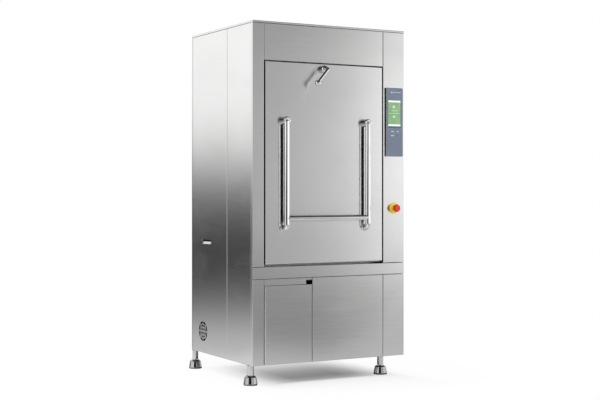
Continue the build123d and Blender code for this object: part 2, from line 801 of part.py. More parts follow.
lower_pipe = rod_z(
    chamber_middle_x, chamber_middle_y, (feed_start, lower_arm_z[1] + turning_gap), pipe_radius
)
for ring in arm_collars(lower_arm_z):
    lower_pipe += ring
riser_y = chamber_y[1] + chamber_wall + riser_gap
riser_x = chamber_middle_x + riser_side
riser_top = chamber_roof_over + riser_rise
upper_pipe = tube(
    (
        (riser_start, chamber_middle_y, pump_z),
        (riser_x, chamber_middle_y, pump_z),
        (riser_x, riser_y, pump_z),
        (riser_x, riser_y, riser_top),
        (chamber_middle_x, chamber_middle_y, riser_top),
        (chamber_middle_x, chamber_middle_y, upper_arm_z[0] - turning_gap),
    ),
    pipe_bend,
    pipe_radius,
    pipe_wall,
)
for ring in arm_collars(upper_arm_z):
    upper_pipe += ring
suction_pipe = tube(
    (
        (chamber_middle_x, suction_front, pump_z),
        (chamber_middle_x, suction_y, pump_z),
        (chamber_middle_x, suction_y, suction_z[0]),
    ),
    suction_bend,
    suction_radius,
    spigot_wall,
)
pieces["wash_pipes"] = Compound(children=[lower_pipe, upper_pipe, suction_pipe])


# A rotating spray arm: a tapered beam with round ends, a bored hub and a row of jets on one face.
def spray_arm(hub_z, jets_up):
    middle = (hub_z[0] + hub_z[1]) / 2
    tip = arm_reach - arm_tip_half
    blade = make_hull((Circle(arm_root_half) + Pos(tip, 0) * Circle(arm_tip_half)).edges())
    planform = blade + mirror(blade, about=Plane.YZ)
    arm_plane = Plane((chamber_middle_x, chamber_middle_y, middle - arm_thickness / 2))
    arm = extrude(arm_plane * planform, amount=arm_thickness)
    arm += rod_z(chamber_middle_x, chamber_middle_y, hub_z, arm_hub_radius)
    arm -= rod_z(chamber_middle_x, chamber_middle_y, hub_z, pipe_radius + running_gap)
    face_z = middle + arm_thickness / 2 if jets_up else middle - arm_thickness / 2
    jet_z = span(face_z, face_z - arm_jet_depth if jets_up else face_z + arm_jet_depth)
    pitch = (tip - arm_hub_radius - arm_jet_start) / (arm_jet_count - 1)
    for number in range(arm_jet_count):
        for side in (-1, 1):
            jet_x = chamber_middle_x + side * (arm_hub_radius + arm_jet_start + number * pitch)
            arm -= rod_z(jet_x, chamber_middle_y, jet_z, arm_jet_radius)
    return arm


pieces["lower_spray_arm"] = spray_arm(lower_arm_z, True)
pieces["upper_spray_arm"] = spray_arm(upper_arm_z, False)

# Drying blower on the chamber roof
blower_x = chamber_middle_x - blower_side
blower_z = (chamber_roof_over, chamber_roof_over + blower_height)
blower = rod_z(blower_x, chamber_middle_y, blower_z, blower_radius)
blower += block(
    (blower_x - blower_radius, blower_x - blower_radius + blower_outlet),
    (chamber_middle_y - blower_radius - blower_outlet, chamber_middle_y),
    blower_z,
)
motor_z = (blower_z[1], blower_z[1] + blower_motor_height)
blower += rod_z(blower_x, chamber_middle_y, motor_z, blower_motor_radius)
pieces["drying_blower"] = blower

# Detergent bay behind the service door, open to the front, and its dosing pumps
bay_x = (service_axis_x + service_pivot, service_x[1])
bay_y = (y_frame_front + bay_front_gap, y_frame_front + bay_front_gap + bay_depth)
bay_z = (z_floor_pan, service_z[1])
bay = block(bay_x, bay_y, bay_z)
bay -= block(shrink(bay_x, sheet), (bay_y[0] - sheet, bay_y[1] - sheet), shrink(bay_z, sheet))
pieces["detergent_bay"] = bay
bay_middle_x = (bay_x[0] + bay_x[1]) / 2
dosing_z = bay_z[0] + dosing_pump_rise
dosing = []
for side in (-1, 1):
    dosing_x = bay_middle_x + side * dosing_pump_spacing / 2
    head_y = (bay_y[1] - sheet - dosing_pump_depth, bay_y[1] - sheet)
    dosing_head = rod_y(dosing_x, head_y, dosing_z, dosing_pump_radius)
    dosing_head = fillet(dosing_head.edges().sort_by(Axis.Y)[0], edge_round)
    dosing.append(dosing_head)
    dosing_motor_y = (bay_y[1], bay_y[1] + dosing_motor_depth)
    dosing.append(rod_y(dosing_x, dosing_motor_y, dosing_z, dosing_motor_radius))
pieces["dosing_pumps"] = Compound(children=dosing)

# Cooling fan on the inside of the left rear panel
fan_x = (left_skin[1], left_skin[1] + fan_depth)
half_fan = fan_size / 2
fan_y_span = (vent_y - half_fan, vent_y + half_fan)
fan_z_span = (fan_z - half_fan, fan_z + half_fan)
fan_frame = block(fan_x, fan_y_span, fan_z_span)
fan_frame = fillet(fan_frame.edges().filter_by(Axis.X), edge_round)
fan_frame -= rod_x(fan_x, vent_y, fan_z, fan_bore_radius)
spider_x = (fan_x[1] - fan_spider, fan_x[1])
fan_frame += rod_x(spider_x, vent_y, fan_z, fan_hub_radius)
half_strut = fan_strut / 2
fan_frame += block(spider_x, fan_y_span, (fan_z - half_strut, fan_z + half_strut))
fan_frame += block(spider_x, (vent_y - half_strut, vent_y + half_strut), fan_z_span)
rotor_x = (spider_x[0] - turning_gap - fan_rotor_depth, spider_x[0] - turning_gap)
pin_x = (rotor_x[0] + fan_spider, spider_x[0])
fan_frame += rod_x(pin_x, vent_y, fan_z, fan_pin_radius)
pieces["fan_frame"] = fan_frame

rotor_middle = (rotor_x[0] + rotor_x[1]) / 2
fan_tip_radius = fan_bore_radius - fan_tip_gap
rotor = rod_x(rotor_x, 0, 0, fan_hub_radius)
rotor -= rod_x((rotor_x[0] + fan_spider - turning_gap, rotor_x[1]), 0, 0, fan_pin_radius + running_gap)
blade_root = fan_hub_radius - fan_blade_sink
root_plane = Plane((rotor_middle, 0, blade_root), x_dir=(1, 0, 0), z_dir=(0, 0, 1))
tip_plane = Plane((rotor_middle, 0, fan_tip_radius), x_dir=(1, 0, 0), z_dir=(0, 0, 1))
root_section = root_plane * Rot(Z=fan_root_turn) * Rectangle(fan_blade_chord, fan_blade_thickness)
tip_section = tip_plane * Rot(Z=fan_tip_turn) * Rectangle(fan_blade_chord, fan_blade_thickness)
fan_blade = loft([root_section, tip_section])
for number in range(fan_blade_count):
    rotor += Rot(X=360 * number / fan_blade_count) * fan_blade
pieces["fan_rotor"] = Pos(0, vent_y, fan_z) * rotor

# Door bearings behind the jamb and the control column
bearing_z = (hinge_z - bearing_height / 2, hinge_z + bearing_height / 2)
bearing_y = (frame_y[0] + angle_wall, frame_y[0] + angle_wall + bearing_depth)
left_bearing_x = (frame_x[0] + angle_wall, x_open_left - turning_gap)
right_bearing_x = (x_open_right + turning_gap, post_right - angle_wall)
left_bearing = block(left_bearing_x, bearing_y, bearing_z)
left_bearing -= rod_x(left_bearing_x, hinge_y, hinge_z, hinge_pin_radius + running_gap)
right_bearing = block(right_bearing_x, bearing_y, bearing_z)
right_bearing -= rod_x(right_bearing_x, hinge_y, hinge_z, hinge_pin_radius + running_gap)
pieces["hinge_bearings"] = Compound(children=[left_bearing, right_bearing])


# The wash door's section in y and z. Both lower corners are rounds about the hinge axis: the rear one is
# full, and the front one is a short lip that swings over the mid rail.
def door_section(inset):
    radius = door_thickness / 2 - inset
    lip = door_lip_radius - inset
    lip_end = (lip**2 - radius**2) ** 0.5
    slope = cos(radians(45))
    front = hinge_y - radius
    back = hinge_y + radius
    low = hinge_z - radius
    top = door_z[1] - inset
    rear_middle = (hinge_y + radius * slope, hinge_z - radius * slope)
    lip_middle = (hinge_y - lip * slope, hinge_z - lip * slope)
    edge = ThreePointArc((back, hinge_z), rear_middle, (hinge_y, low))
    edge += Line((hinge_y, low), (hinge_y - lip_end, low))
    edge += ThreePointArc((hinge_y - lip_end, low), lip_middle, (front, hinge_z - lip_end))
    edge += Polyline((front, hinge_z - lip_end), (front, top), (back, top), (back, hinge_z))
    return make_face(edge)


# Door skin, open behind, with the holes for the hinge pins, the latch boss and the cam
skin = side_slab(door_section(0), door_x)
skin -= side_slab(door_section(sheet), shrink(door_x, sheet))
skin -= block(shrink(door_x, sheet), (hinge_y, door_y[1]), (hinge_z, door_z[1] - sheet))
skin -= rod_x(door_x, hinge_y, hinge_z, hinge_pin_radius + set_in_gap)
skin -= rod_y(lever_x, (y_front, y_front + sheet), lever_z, boss_sleeve_radius + set_in_gap)
cam_front = y_frame_front + keeper_thickness + cam_gap
cam_y = (cam_front, cam_front + cam_thickness)
cam_slot_x = (lever_x - cam_half_width - keeper_thickness, lever_x + cam_length + keeper_thickness)
cam_slot_y = (cam_y[0] - cam_gap, cam_y[1] + cam_gap)
skin -= block(cam_slot_x, cam_slot_y, (door_z[1] - sheet, door_z[1]))
pieces["door_skin"] = skin

# Door liner: a flat sheet with a raised field
liner_x = shrink(door_x, sheet + set_in_gap)
liner_z = (hinge_z + set_in_gap, door_z[1] - sheet - set_in_gap)
liner_y = (door_y[1] - sheet, door_y[1])


def liner_field(inset):
    width = chamber_x[1] - chamber_x[0] - 2 * inset
    height = chamber_z[1] - chamber_z[0] - 2 * inset
    middle_z = (chamber_z[0] + chamber_z[1]) / 2
    return Pos(chamber_middle_x, middle_z) * RectangleRounded(width, height, liner_corner)


def raised(sketch, start, amount):
    plane = Plane((0, start, 0), x_dir=(-1, 0, 0), z_dir=(0, 1, 0))
    return extrude(plane * mirror(sketch, about=Plane.YZ), amount=amount, taper=liner_draft)


liner = block(liner_x, liner_y, liner_z)
liner += raised(liner_field(gasket_margin), liner_y[1], liner_lift)
liner -= raised(liner_field(gasket_margin + sheet), liner_y[0], liner_lift)
pieces["door_liner"] = liner

# Hinge pins with a hub inside the door
pins = []
for edge_x, outward in ((door_x[0], -1), (door_x[1], 1)):
    inner_x = edge_x - outward * sheet
    pin_end = edge_x + outward * (door_gap + hinge_pin_reach)
    pin = rod_x(span(inner_x, pin_end), hinge_y, hinge_z, hinge_pin_radius)
    pin += rod_x(span(inner_x, inner_x - outward * hinge_hub_length), hinge_y, hinge_z, hinge_hub_radius)
    pins.append(pin)
pieces["door_hinge_pins"] = Compound(children=pins)

# Door handle: two bent tubes with domed tops let into their upper posts, and a cross bar
handle_y = y_front - handle_stand_off
handle_low_z = door_z[0] + handle_low
handle_post_z = door_z[0] + handle_post_rise
handle_dome_z = handle_post_z + handle_tip_rise - handle_radius
handle_bar_z = door_z[0] + handle_bar_rise
handle_tubes = []
handle_posts = []
for side in (-1, 1):
    tube_x = door_middle + side * handle_half_span
    upper_end = (tube_x, handle_y, handle_dome_z)
    lower_bend = (tube_x, handle_y, handle_low_z)
    lower_end = (tube_x, y_front, handle_low_z)
    handle = tube((upper_end, lower_bend, lower_end), handle_bend, handle_radius, handle_wall)
    dome = Sphere(handle_radius, arc_size1=0) - Sphere(handle_radius - handle_wall, arc_size1=0)
    handle_tubes.append(handle + Pos(*upper_end) * dome)
    post = rod_y(tube_x, (y_front - handle_post_reach, y_front), handle_post_z, handle_post_radius)
    post = fillet(post.edges().sort_by(Axis.Y)[0], handle_post_round)
    pocket_z = (handle_post_z - 2 * handle_post_radius, handle_post_z + handle_tip_rise + set_in_gap)
    handle_posts.append(post - rod_z(tube_x, handle_y, pocket_z, handle_radius + set_in_gap))
pieces["handle_tubes"] = Compound(children=handle_tubes)
pieces["handle_posts"] = Compound(children=handle_posts)
bar_x = (door_middle - handle_half_span, door_middle + handle_half_span)
cross_bar = rod_x(bar_x, handle_y, handle_bar_z, handle_radius)
cross_bar -= rod_x(bar_x, handle_y, handle_bar_z, handle_radius - handle_wall)
for tube_x in bar_x:
    end_z = (handle_bar_z - 2 * handle_radius, handle_bar_z + 2 * handle_radius)
    cross_bar -= rod_z(tube_x, handle_y, end_z, handle_radius + set_in_gap)
pieces["handle_cross_bar"] = cross_bar

# Latch boss on the door
boss = rod_y(lever_x, (y_front - boss_flange, y_front), lever_z, boss_flange_radius)
boss += rod_y(lever_x, (y_front - boss_reach, y_front), lever_z, boss_radius)
boss += rod_y(lever_x, (y_front, cam_y[0] - turning_gap), lever_z, boss_sleeve_radius)
boss -= rod_y(
    lever_x, (y_front - boss_reach, cam_y[0] - turning_gap), lever_z, spindle_radius + running_gap
)
pieces["latch_boss"] = boss

# Latch lever: a domed hub, its spindle and a rod that comes out of the hub and bends to the lower left
lever_hub_y = (y_front - boss_reach - turning_gap - lever_hub_length, y_front - boss_reach - turning_gap)
knob_way = Vector(-sin(radians(lever_lean)), 0, -cos(radians(lever_lean)))
rod_start = Vector(lever_x, lever_hub_y[0] + lever_hub_round, lever_z)
rod_corner = Vector(lever_x, y_front - lever_out, lever_z)
knob_centre = rod_corner + knob_way * lever_length
rod_end = knob_centre - knob_way * knob_seat
lever_path = FilletPolyline(rod_start, rod_corner, rod_end, radius=lever_bend)
lever = sweep(Plane(rod_start, z_dir=lever_path % 0) * Circle(lever_rod_radius), path=lever_path)
hub = rod_y(lever_x, lever_hub_y, lever_z, lever_hub_radius)
lever += fillet(hub.edges().sort_by(Axis.Y)[0], lever_hub_round)
lever += rod_y(lever_x, (lever_hub_y[1], cam_y[0]), lever_z, spindle_radius)
lever += rod_y(lever_x, (cam_y[0], cam_y[1]), lever_z, spindle_end_radius)
pieces["latch_lever"] = lever
knob = Sphere(knob_radius) - rod_z(0, 0, (-2 * knob_radius, -knob_seat), knob_radius)
pieces["lever_knob"] = Plane(knob_centre, z_dir=knob_way) * knob

# Latch cam inside the door, lying to the right while the door is free
cam_outline = Circle(cam_hub_radius) + Pos(cam_length / 2, 0) * Rectangle(cam_length, 2 * cam_half_width)
cam_outline -= Circle(spindle_end_radius + running_gap)
pieces["latch_cam"] = slab(Pos(lever_x, lever_z) * cam_outline, cam_y)

# Keeper on the header's lower fold, in front of the raised cam
keeper_x = (lever_x - keeper_half_width, lever_x + keeper_half_width)
keeper_low = z_header_low + sheet
keeper_back = y_frame_front + keeper_thickness
keeper = block(keeper_x, (y_front + sheet, keeper_back), (keeper_low, keeper_low + keeper_thickness))
keeper += block(keeper_x, (y_frame_front, keeper_back), (keeper_low, keeper_low + keeper_height))
pieces["latch_keeper"] = keeper

# A block whose upright edge at the front left is rounded.
def round_left_block(x, y, z, radius):
    body = block(x, y, z)
    front = body.faces().sort_by(Axis.Y)[0]
    return fillet(front.edges().sort_by(Axis.X)[0], radius)


# Service door: a pan whose left edge is rounded about the hinge axis and stops beside it
service_y = fold_y
service_door = round_left_block(service_x, service_y, service_z, service_pivot)
service_hollow_y = (service_y[0] + sheet, service_y[1] + sheet)
service_door -= round_left_block(
    shrink(service_x, sheet), service_hollow_y, shrink(service_z, sheet), service_pivot - sheet
)
service_door -= block((service_x[0], service_axis_x), (service_axis_y, service_y[1]), service_z)
pieces["service_door"] = service_door
ear_half = service_ear / 2
tab_reach = ear_half + turning_gap + service_tab

# Hinge ears on the left front upright, and the door's own tabs and pins
ears = []
tabs = []
ear_bar_y = (frame_y[0] + angle_wall, frame_y[0] + angle_leg)
knuckle_right = service_axis_x + service_knuckle_radius
for height in service_hinge_heights:
    ear_z = (height - ear_half, height + ear_half)
    ear = block((frame_x[0] + angle_wall, knuckle_right), ear_bar_y, ear_z)
    ear += block((service_axis_x + service_neck_offset, knuckle_right), (service_axis_y, ear_bar_y[1]), ear_z)
    ear += rod_z(service_axis_x, service_axis_y, ear_z, service_knuckle_radius)
    ear -= rod_z(service_axis_x, service_axis_y, ear_z, service_pin_radius + running_gap)
    ears.append(ear)
    pin_z = (height - tab_reach, height + tab_reach)
    hinge = rod_z(service_axis_x, service_axis_y, pin_z, service_pin_radius)
    for tab_z in (
        (height - tab_reach, height - ear_half - turning_gap),
        (height + ear_half + turning_gap, height + tab_reach),
    ):
        hinge += block((service_axis_x, knuckle_right), (service_y[0] + sheet, service_axis_y), tab_z)
        hinge += rod_z(service_axis_x, service_axis_y, tab_z, service_knuckle_radius)
    tabs.append(hinge)
pieces["service_hinge_ears"] = Compound(children=ears)
pieces["service_door_hinges"] = Compound(children=tabs)

os.makedirs("parts", exist_ok=True)
for name, piece in pieces.items():
    export_step(piece, f"parts/{name}.step")
print(len(pieces), "pieces")
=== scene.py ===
import json
import math

import bmesh
import bpy
from mathutils import Matrix, Vector


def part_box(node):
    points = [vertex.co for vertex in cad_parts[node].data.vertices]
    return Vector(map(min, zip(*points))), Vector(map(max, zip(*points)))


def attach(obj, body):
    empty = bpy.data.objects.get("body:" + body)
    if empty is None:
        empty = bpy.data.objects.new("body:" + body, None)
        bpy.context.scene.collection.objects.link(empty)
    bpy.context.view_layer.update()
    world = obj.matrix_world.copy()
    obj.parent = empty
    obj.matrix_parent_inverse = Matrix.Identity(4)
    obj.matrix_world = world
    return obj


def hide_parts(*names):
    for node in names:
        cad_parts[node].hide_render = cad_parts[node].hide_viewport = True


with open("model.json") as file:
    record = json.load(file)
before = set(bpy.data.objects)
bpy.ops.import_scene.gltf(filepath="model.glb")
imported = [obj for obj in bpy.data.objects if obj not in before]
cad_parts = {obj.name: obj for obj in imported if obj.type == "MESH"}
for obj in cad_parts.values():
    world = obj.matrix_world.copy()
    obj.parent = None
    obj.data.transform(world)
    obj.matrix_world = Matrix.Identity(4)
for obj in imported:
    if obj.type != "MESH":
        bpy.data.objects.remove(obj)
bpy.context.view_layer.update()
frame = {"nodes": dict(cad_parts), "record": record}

cadNodes = frame["nodes"]
sideLow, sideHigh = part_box("chassis_frame")  # the cabinet's footprint
footCorners = ("front_left", "front_right", "rear_left", "rear_right")


# node helpers: a socket takes a link from another socket, or a plain value of its own
def feed(tree, socket, value):
    if isinstance(value, bpy.types.NodeSocket):
        tree.links.new(value, socket)
    else:
        socket.default_value = value


def addNode(tree, kind, inputs=None, **settings):
    node = tree.nodes.new(kind)
    for key, value in settings.items():
        setattr(node, key, value)
    for key, value in (inputs or {}).items():
        feed(tree, node.inputs[key], value)
    return node


def grey(value):
    return (value, value, value, 1.0)


def objectSpot(tree):
    return addNode(tree, "ShaderNodeTexCoord").outputs["Object"]


def axesOf(tree, spot):
    return addNode(tree, "ShaderNodeSeparateXYZ", {"Vector": spot}).outputs


# noise on Object coordinates, stretched by the scale of each axis; its grain is (detail, roughness)
def objectNoise(tree, scale, grain, offset=(0.0, 0.0, 0.0)):
    detail, rough = grain
    stretch = addNode(tree, "ShaderNodeMapping", {
        "Vector": objectSpot(tree), "Scale": scale, "Location": offset})
    noise = addNode(tree, "ShaderNodeTexNoise", {
        "Vector": stretch.outputs["Vector"], "Scale": 1.0, "Detail": detail, "Roughness": rough})
    return noise.outputs["Fac"]


def evenNoise(tree, scale, grain):
    return objectNoise(tree, (scale, scale, scale), grain)


# noise lies mostly between 0.3 and 0.7
def remap(tree, value, low, high, fromLow=0.3, fromHigh=0.7):
    node = addNode(tree, "ShaderNodeMapRange", {
        "Value": value, "From Min": fromLow, "From Max": fromHigh, "To Min": low, "To Max": high})
    return node.outputs["Result"]


def combine(tree, operation, first, second=0.0):
    return addNode(tree, "ShaderNodeMath", {0: first, 1: second}, operation=operation).outputs[0]


def weigh(tree, first, second, shares):
    return combine(tree, "ADD", combine(tree, "MULTIPLY", first, shares[0]),
                   combine(tree, "MULTIPLY", second, shares[1]))


def fromMiddle(tree, place, low, high):
    return combine(tree, "ABSOLUTE", combine(tree, "SUBTRACT", place, (low + high) / 2))


mixSockets = {"FLOAT": (0, 2, 3, 0), "RGBA": (0, 6, 7, 2)}  # share, first, second and result of a Mix node


def mixValues(tree, kind, share, first, second):
    shareIn, firstIn, secondIn, result = mixSockets[kind]
    node = addNode(tree, "ShaderNodeMix", {shareIn: share, firstIn: first, secondIn: second}, data_type=kind)
    return node.outputs[result]


# a look's two colours, blended by a pattern
def tint(tree, pattern, look):
    return mixValues(tree, "RGBA", remap(tree, pattern, 0.0, 1.0), look["dark"], look["pale"])


def bump(tree, height, strength, distance):
    node = addNode(tree, "ShaderNodeBump", {"Height": height, "Strength": strength, "Distance": distance})
    return node.outputs["Normal"]


# a finish is one Principled shader with its pattern on Object coordinates
def makeFinish(name, drawFinish, look):
    mat = bpy.data.materials.new(name)
    mat.use_nodes = True
    shader = mat.node_tree.nodes["Principled BSDF"]
    for key, value in drawFinish(mat.node_tree, look).items():
        feed(mat.node_tree, shader.inputs[key], value)
    return mat


# sheet steel: fine lines along the grain, faint clouds and a few wiped smears
steelPattern = {"lines": (2.0, 0.6), "clouds": (2.0, 0.5), "shares": (0.5, 0.5), "smears": (4.0, 0.55),
                "smearShift": (3.1, 1.7, 0.4), "smearBand": (0.52, 0.75), "brushTurn": 0.25, "depth": 0.0003}


def steelFinish(tree, look):
    lines = objectNoise(tree, look["grain"], steelPattern["lines"])
    clouds = evenNoise(tree, look["cloud"], steelPattern["clouds"])
    smears = objectNoise(tree, look["smear"], steelPattern["smears"], steelPattern["smearShift"])
    spread = combine(tree, "ADD", remap(tree, lines, -look["spread"], look["spread"]),
                     remap(tree, smears, 0.0, look["smearRough"], *steelPattern["smearBand"]))
    return {
        "Base Color": tint(tree, weigh(tree, lines, clouds, steelPattern["shares"]), look),
        "Roughness": combine(tree, "ADD", spread, look["rough"]),
        "Metallic": 1.0,
        "Anisotropic": look["brush"],
        "Anisotropic Rotation": steelPattern["brushTurn"],
        "Normal": bump(tree, lines, look["bump"], steelPattern["depth"])}


# level grain: "brush" draws reflections out up and down and keeps them sharp across
panelSteelLook = {
    "dark": (0.66, 0.66, 0.655, 1.0), "pale": (0.74, 0.74, 0.735, 1.0), "grain": (7.0, 7.0, 620.0),
    "brush": 0.85, "cloud": 2.2, "smear": (2.4, 2.4, 5.0), "rough": 0.13, "spread": 0.012,
    "smearRough": 0.04, "bump": 0.012}
doorSteelLook = dict(panelSteelLook, dark=grey(0.80), pale=grey(0.88), brush=0.98, cloud=1.8,
                     smear=(2.0, 2.0, 4.0), rough=0.21, smearRough=0.03)
columnSteelLook = dict(panelSteelLook, brush=0.80, rough=0.18, smearRough=0.03)
lidSteelLook = dict(panelSteelLook, grain=(7.0, 620.0, 7.0), brush=0.0, smear=(2.4, 5.0, 2.4), rough=0.24,
                    spread=0.03, smearRough=0.05, bump=0.04)
legSteelLook = {
    "dark": grey(0.66), "pale": grey(0.74), "grain": (260.0, 260.0, 9.0), "brush": 0.0, "cloud": 6.0,
    "smear": (6.0, 6.0, 12.0), "rough": 0.2, "spread": 0.03, "smearRough": 0.05, "bump": 0.03}
footSteelLook = {
    "dark": grey(0.36), "pale": grey(0.50), "grain": (20.0, 20.0, 900.0), "brush": 0.6, "cloud": 12.0,
    "smear": (9.0, 9.0, 18.0), "rough": 0.13, "spread": 0.03, "smearRough": 0.05, "bump": 0.02}
innerSteelLook = {
    "dark": (0.55, 0.56, 0.56, 1.0), "pale": (0.66, 0.67, 0.67, 1.0), "grain": (90.0, 90.0, 90.0),
    "brush": 0.0, "cloud": 3.0, "smear": (3.0, 3.0, 7.0), "rough": 0.30, "spread": 0.04,
    "smearRough": 0.08, "bump": 0.03}

# the side pulls: painted shade, bright along the lip and near black in the hollow behind it
pullPaintedShadeLook = {"dark": grey(0.012), "pale": (0.76, 0.76, 0.755, 1.0), "lip": 0.0068, "hollow": 0.0088,
            "smear": (40.0, 40.0, 160.0), "grain": (3.0, 0.6), "smearTone": 0.88, "rough": 0.20,
            "spread": 0.08}


def pullFinish(tree, look):
    low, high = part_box("side_pull_cups")
    across = axesOf(tree, objectSpot(tree))["X"]
    depth = combine(tree, "SUBTRACT", (high.x - low.x) / 2, fromMiddle(tree, across, low.x, high.x))
    smears = objectNoise(tree, look["smear"], look["grain"])
    # painted shade: the colour runs from the pale lip to near black deeper in the hollow
    shade = combine(tree, "MULTIPLY", remap(tree, depth, 1.0, 0.0, look["lip"], look["hollow"]),
                    remap(tree, smears, look["smearTone"], 1.0))
    return {
        "Base Color": mixValues(tree, "RGBA", shade, look["dark"], look["pale"]),
        "Roughness": remap(tree, smears, look["rough"], look["rough"] + look["spread"]),
        "Metallic": 1.0}


# painted shade: how much a point lies on the back of an upright handle tube, facing the door, above its lower
# bend; there the chrome is toned near black
def paintedTubeShade(tree, look):
    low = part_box("handle_tubes")[0]
    axes = axesOf(tree, objectSpot(tree))
    behind = combine(tree, "SUBTRACT", axes["Y"], low.y)
    above = combine(tree, "SUBTRACT", axes["Z"], low.z)
    share = combine(tree, "MULTIPLY", remap(tree, behind, 0.0, 1.0, *look["behind"]),
                    remap(tree, behind, 1.0, 0.0, *look["door"]))
    return combine(tree, "MULTIPLY", share, remap(tree, above, 0.0, 1.0, *look["bend"]))


# polished and plated metal: a mirror with a breath of smear
polishedPattern = {"smears": (4.0, 0.6), "specks": (2.0, 0.5), "smearBand": (0.45, 0.75), "depth": 0.0002}


def polishedFinish(tree, look):
    smears = evenNoise(tree, look["smear"], polishedPattern["smears"])
    specks = evenNoise(tree, look["speck"], polishedPattern["specks"])
    colour = tint(tree, smears, look)
    # painted shade: the backs of the handle tubes take a near black colour
    if "back" in look:
        colour = mixValues(tree, "RGBA", paintedTubeShade(tree, look["back"]), colour, look["back"]["colour"])
    roughest = look["rough"] + look["spread"]
    return {
        "Base Color": colour,
        "Roughness": remap(tree, smears, look["rough"], roughest, *polishedPattern["smearBand"]),
        "Metallic": 1.0,
        "Normal": bump(tree, specks, look["bump"], polishedPattern["depth"])}


chromeLook = {"dark": (0.80, 0.81, 0.82, 1.0), "pale": (0.88, 0.89, 0.90, 1.0), "smear": 14.0, "speck": 900.0,
              "rough": 0.015, "spread": 0.025, "bump": 0.006}
# painted shade on the backs of the handle tubes: its near black colour, and where it starts and ends
tubeBackLook = {"colour": grey(0.03), "behind": (0.0232, 0.0260), "door": (0.0282, 0.0300),
                "bend": (0.036, 0.050)}  # metres behind the front of the tubes, and above their lowest point
handleChromeLook = dict(chromeLook, back=tubeBackLook)
nickelLook = {"dark": (0.58, 0.52, 0.40, 1.0), "pale": (0.70, 0.64, 0.52, 1.0), "smear": 30.0, "speck": 700.0,
              "rough": 0.20, "spread": 0.12, "bump": 0.05}

# zinc-coated frame steel with its flakes
zincLook = {"dark": (0.40, 0.41, 0.42, 1.0), "pale": (0.56, 0.57, 0.58, 1.0), "flake": 85.0,
            "rough": (0.34, 0.52)}


def zincFinish(tree, look):
    flakes = addNode(tree, "ShaderNodeTexVoronoi", {"Vector": objectSpot(tree), "Scale": look["flake"]})
    split = addNode(tree, "ShaderNodeSeparateColor", {"Color": flakes.outputs["Color"]}).outputs
    return {
        "Base Color": mixValues(tree, "RGBA", split["Red"], look["dark"], look["pale"]),
        "Roughness": remap(tree, split["Green"], *look["rough"], 0.0, 1.0),
        "Metallic": 1.0}


# cast metal: a sandy skin
castLook = {"dark": (0.48, 0.48, 0.49, 1.0), "pale": (0.62, 0.62, 0.63, 1.0), "sand": 420.0, "patch": 12.0,
            "sandGrain": (5.0, 0.6), "patchGrain": (2.0, 0.5), "rough": (0.42, 0.62), "bump": 0.35,
            "depth": 0.0006}


def castFinish(tree, look):
    sand = evenNoise(tree, look["sand"], look["sandGrain"])
    patches = evenNoise(tree, look["patch"], look["patchGrain"])
    return {
        "Base Color": tint(tree, patches, look),
        "Roughness": remap(tree, sand, *look["rough"]),
        "Metallic": 1.0,
        "Normal": bump(tree, sand, look["bump"], look["depth"])}


# moulded plastic and rubber: a fine grain in the skin, slightly uneven colour
mouldedPattern = {"grain": (3.0, 0.6), "patches": (2.0, 0.5), "smoother": 0.05, "rougher": 0.07,
                  "depth": 0.0003}


def mouldedFinish(tree, look):
    grain = evenNoise(tree, look["grain"], mouldedPattern["grain"])
    patches = evenNoise(tree, look["patch"], mouldedPattern["patches"])
    low, high = look["rough"] - mouldedPattern["smoother"], look["rough"] + mouldedPattern["rougher"]
    return {
        "Base Color": tint(tree, patches, look),
        "Roughness": remap(tree, grain, low, high),
        "Specular IOR Level": look["gloss"],
        "Normal": bump(tree, grain, look["bump"], mouldedPattern["depth"])}


fasciaLook = {"dark": (0.165, 0.205, 0.285, 1.0), "pale": (0.205, 0.250, 0.340, 1.0), "grain": 1500.0,
              "patch": 9.0, "rough": 0.38, "gloss": 0.5, "bump": 0.12}
keyLook = {"dark": (0.185, 0.228, 0.312, 1.0), "pale": (0.225, 0.272, 0.365, 1.0), "grain": 1500.0,
           "patch": 30.0, "rough": 0.34, "gloss": 0.5, "bump": 0.1}
printLightLook = {"dark": (0.52, 0.57, 0.64, 1.0), "pale": (0.62, 0.67, 0.73, 1.0), "grain": 1500.0,
                  "patch": 60.0, "rough": 0.40, "gloss": 0.4, "bump": 0.05}
printDarkLook = {"dark": (0.055, 0.070, 0.110, 1.0), "pale": (0.080, 0.098, 0.145, 1.0), "grain": 1500.0,
                 "patch": 60.0, "rough": 0.42, "gloss": 0.4, "bump": 0.05}
stopYellowLook = {"dark": (0.95, 0.74, 0.030, 1.0), "pale": (1.00, 0.84, 0.06, 1.0), "grain": 1400.0,
                  "patch": 40.0, "rough": 0.35, "gloss": 0.5, "bump": 0.08}
stopRedLook = {"dark": (0.80, 0.040, 0.025, 1.0), "pale": (0.92, 0.065, 0.042, 1.0), "grain": 1400.0,
               "patch": 40.0, "rough": 0.28, "gloss": 0.3, "bump": 0.06}
blackPlasticLook = {"dark": (0.018, 0.018, 0.020, 1.0), "pale": (0.032, 0.032, 0.034, 1.0), "grain": 1100.0,
                    "patch": 14.0, "rough": 0.46, "gloss": 0.45, "bump": 0.2}
rubberLook = {"dark": grey(0.014), "pale": grey(0.028), "grain": 650.0, "patch": 16.0, "rough": 0.62,
              "gloss": 0.3, "bump": 0.3}

# lit display: soft clouds of colour under glass, with a faint raster
displayPattern = {"raster": (0.0, 0.5), "glow": (1.0, 0.5), "shares": (0.35, 0.65), "smoother": 0.03,
                  "rougher": 0.05}


def displayFinish(tree, look):
    raster = evenNoise(tree, look["raster"], displayPattern["raster"])
    glow = evenNoise(tree, look["glow"], displayPattern["glow"])
    colour = tint(tree, weigh(tree, raster, glow, displayPattern["shares"]), look)
    low, high = look["rough"] - displayPattern["smoother"], look["rough"] + displayPattern["rougher"]
    return {
        "Base Color": colour,
        "Emission Color": colour,
        "Emission Strength": look["lit"],
        "Roughness": remap(tree, glow, low, high)}


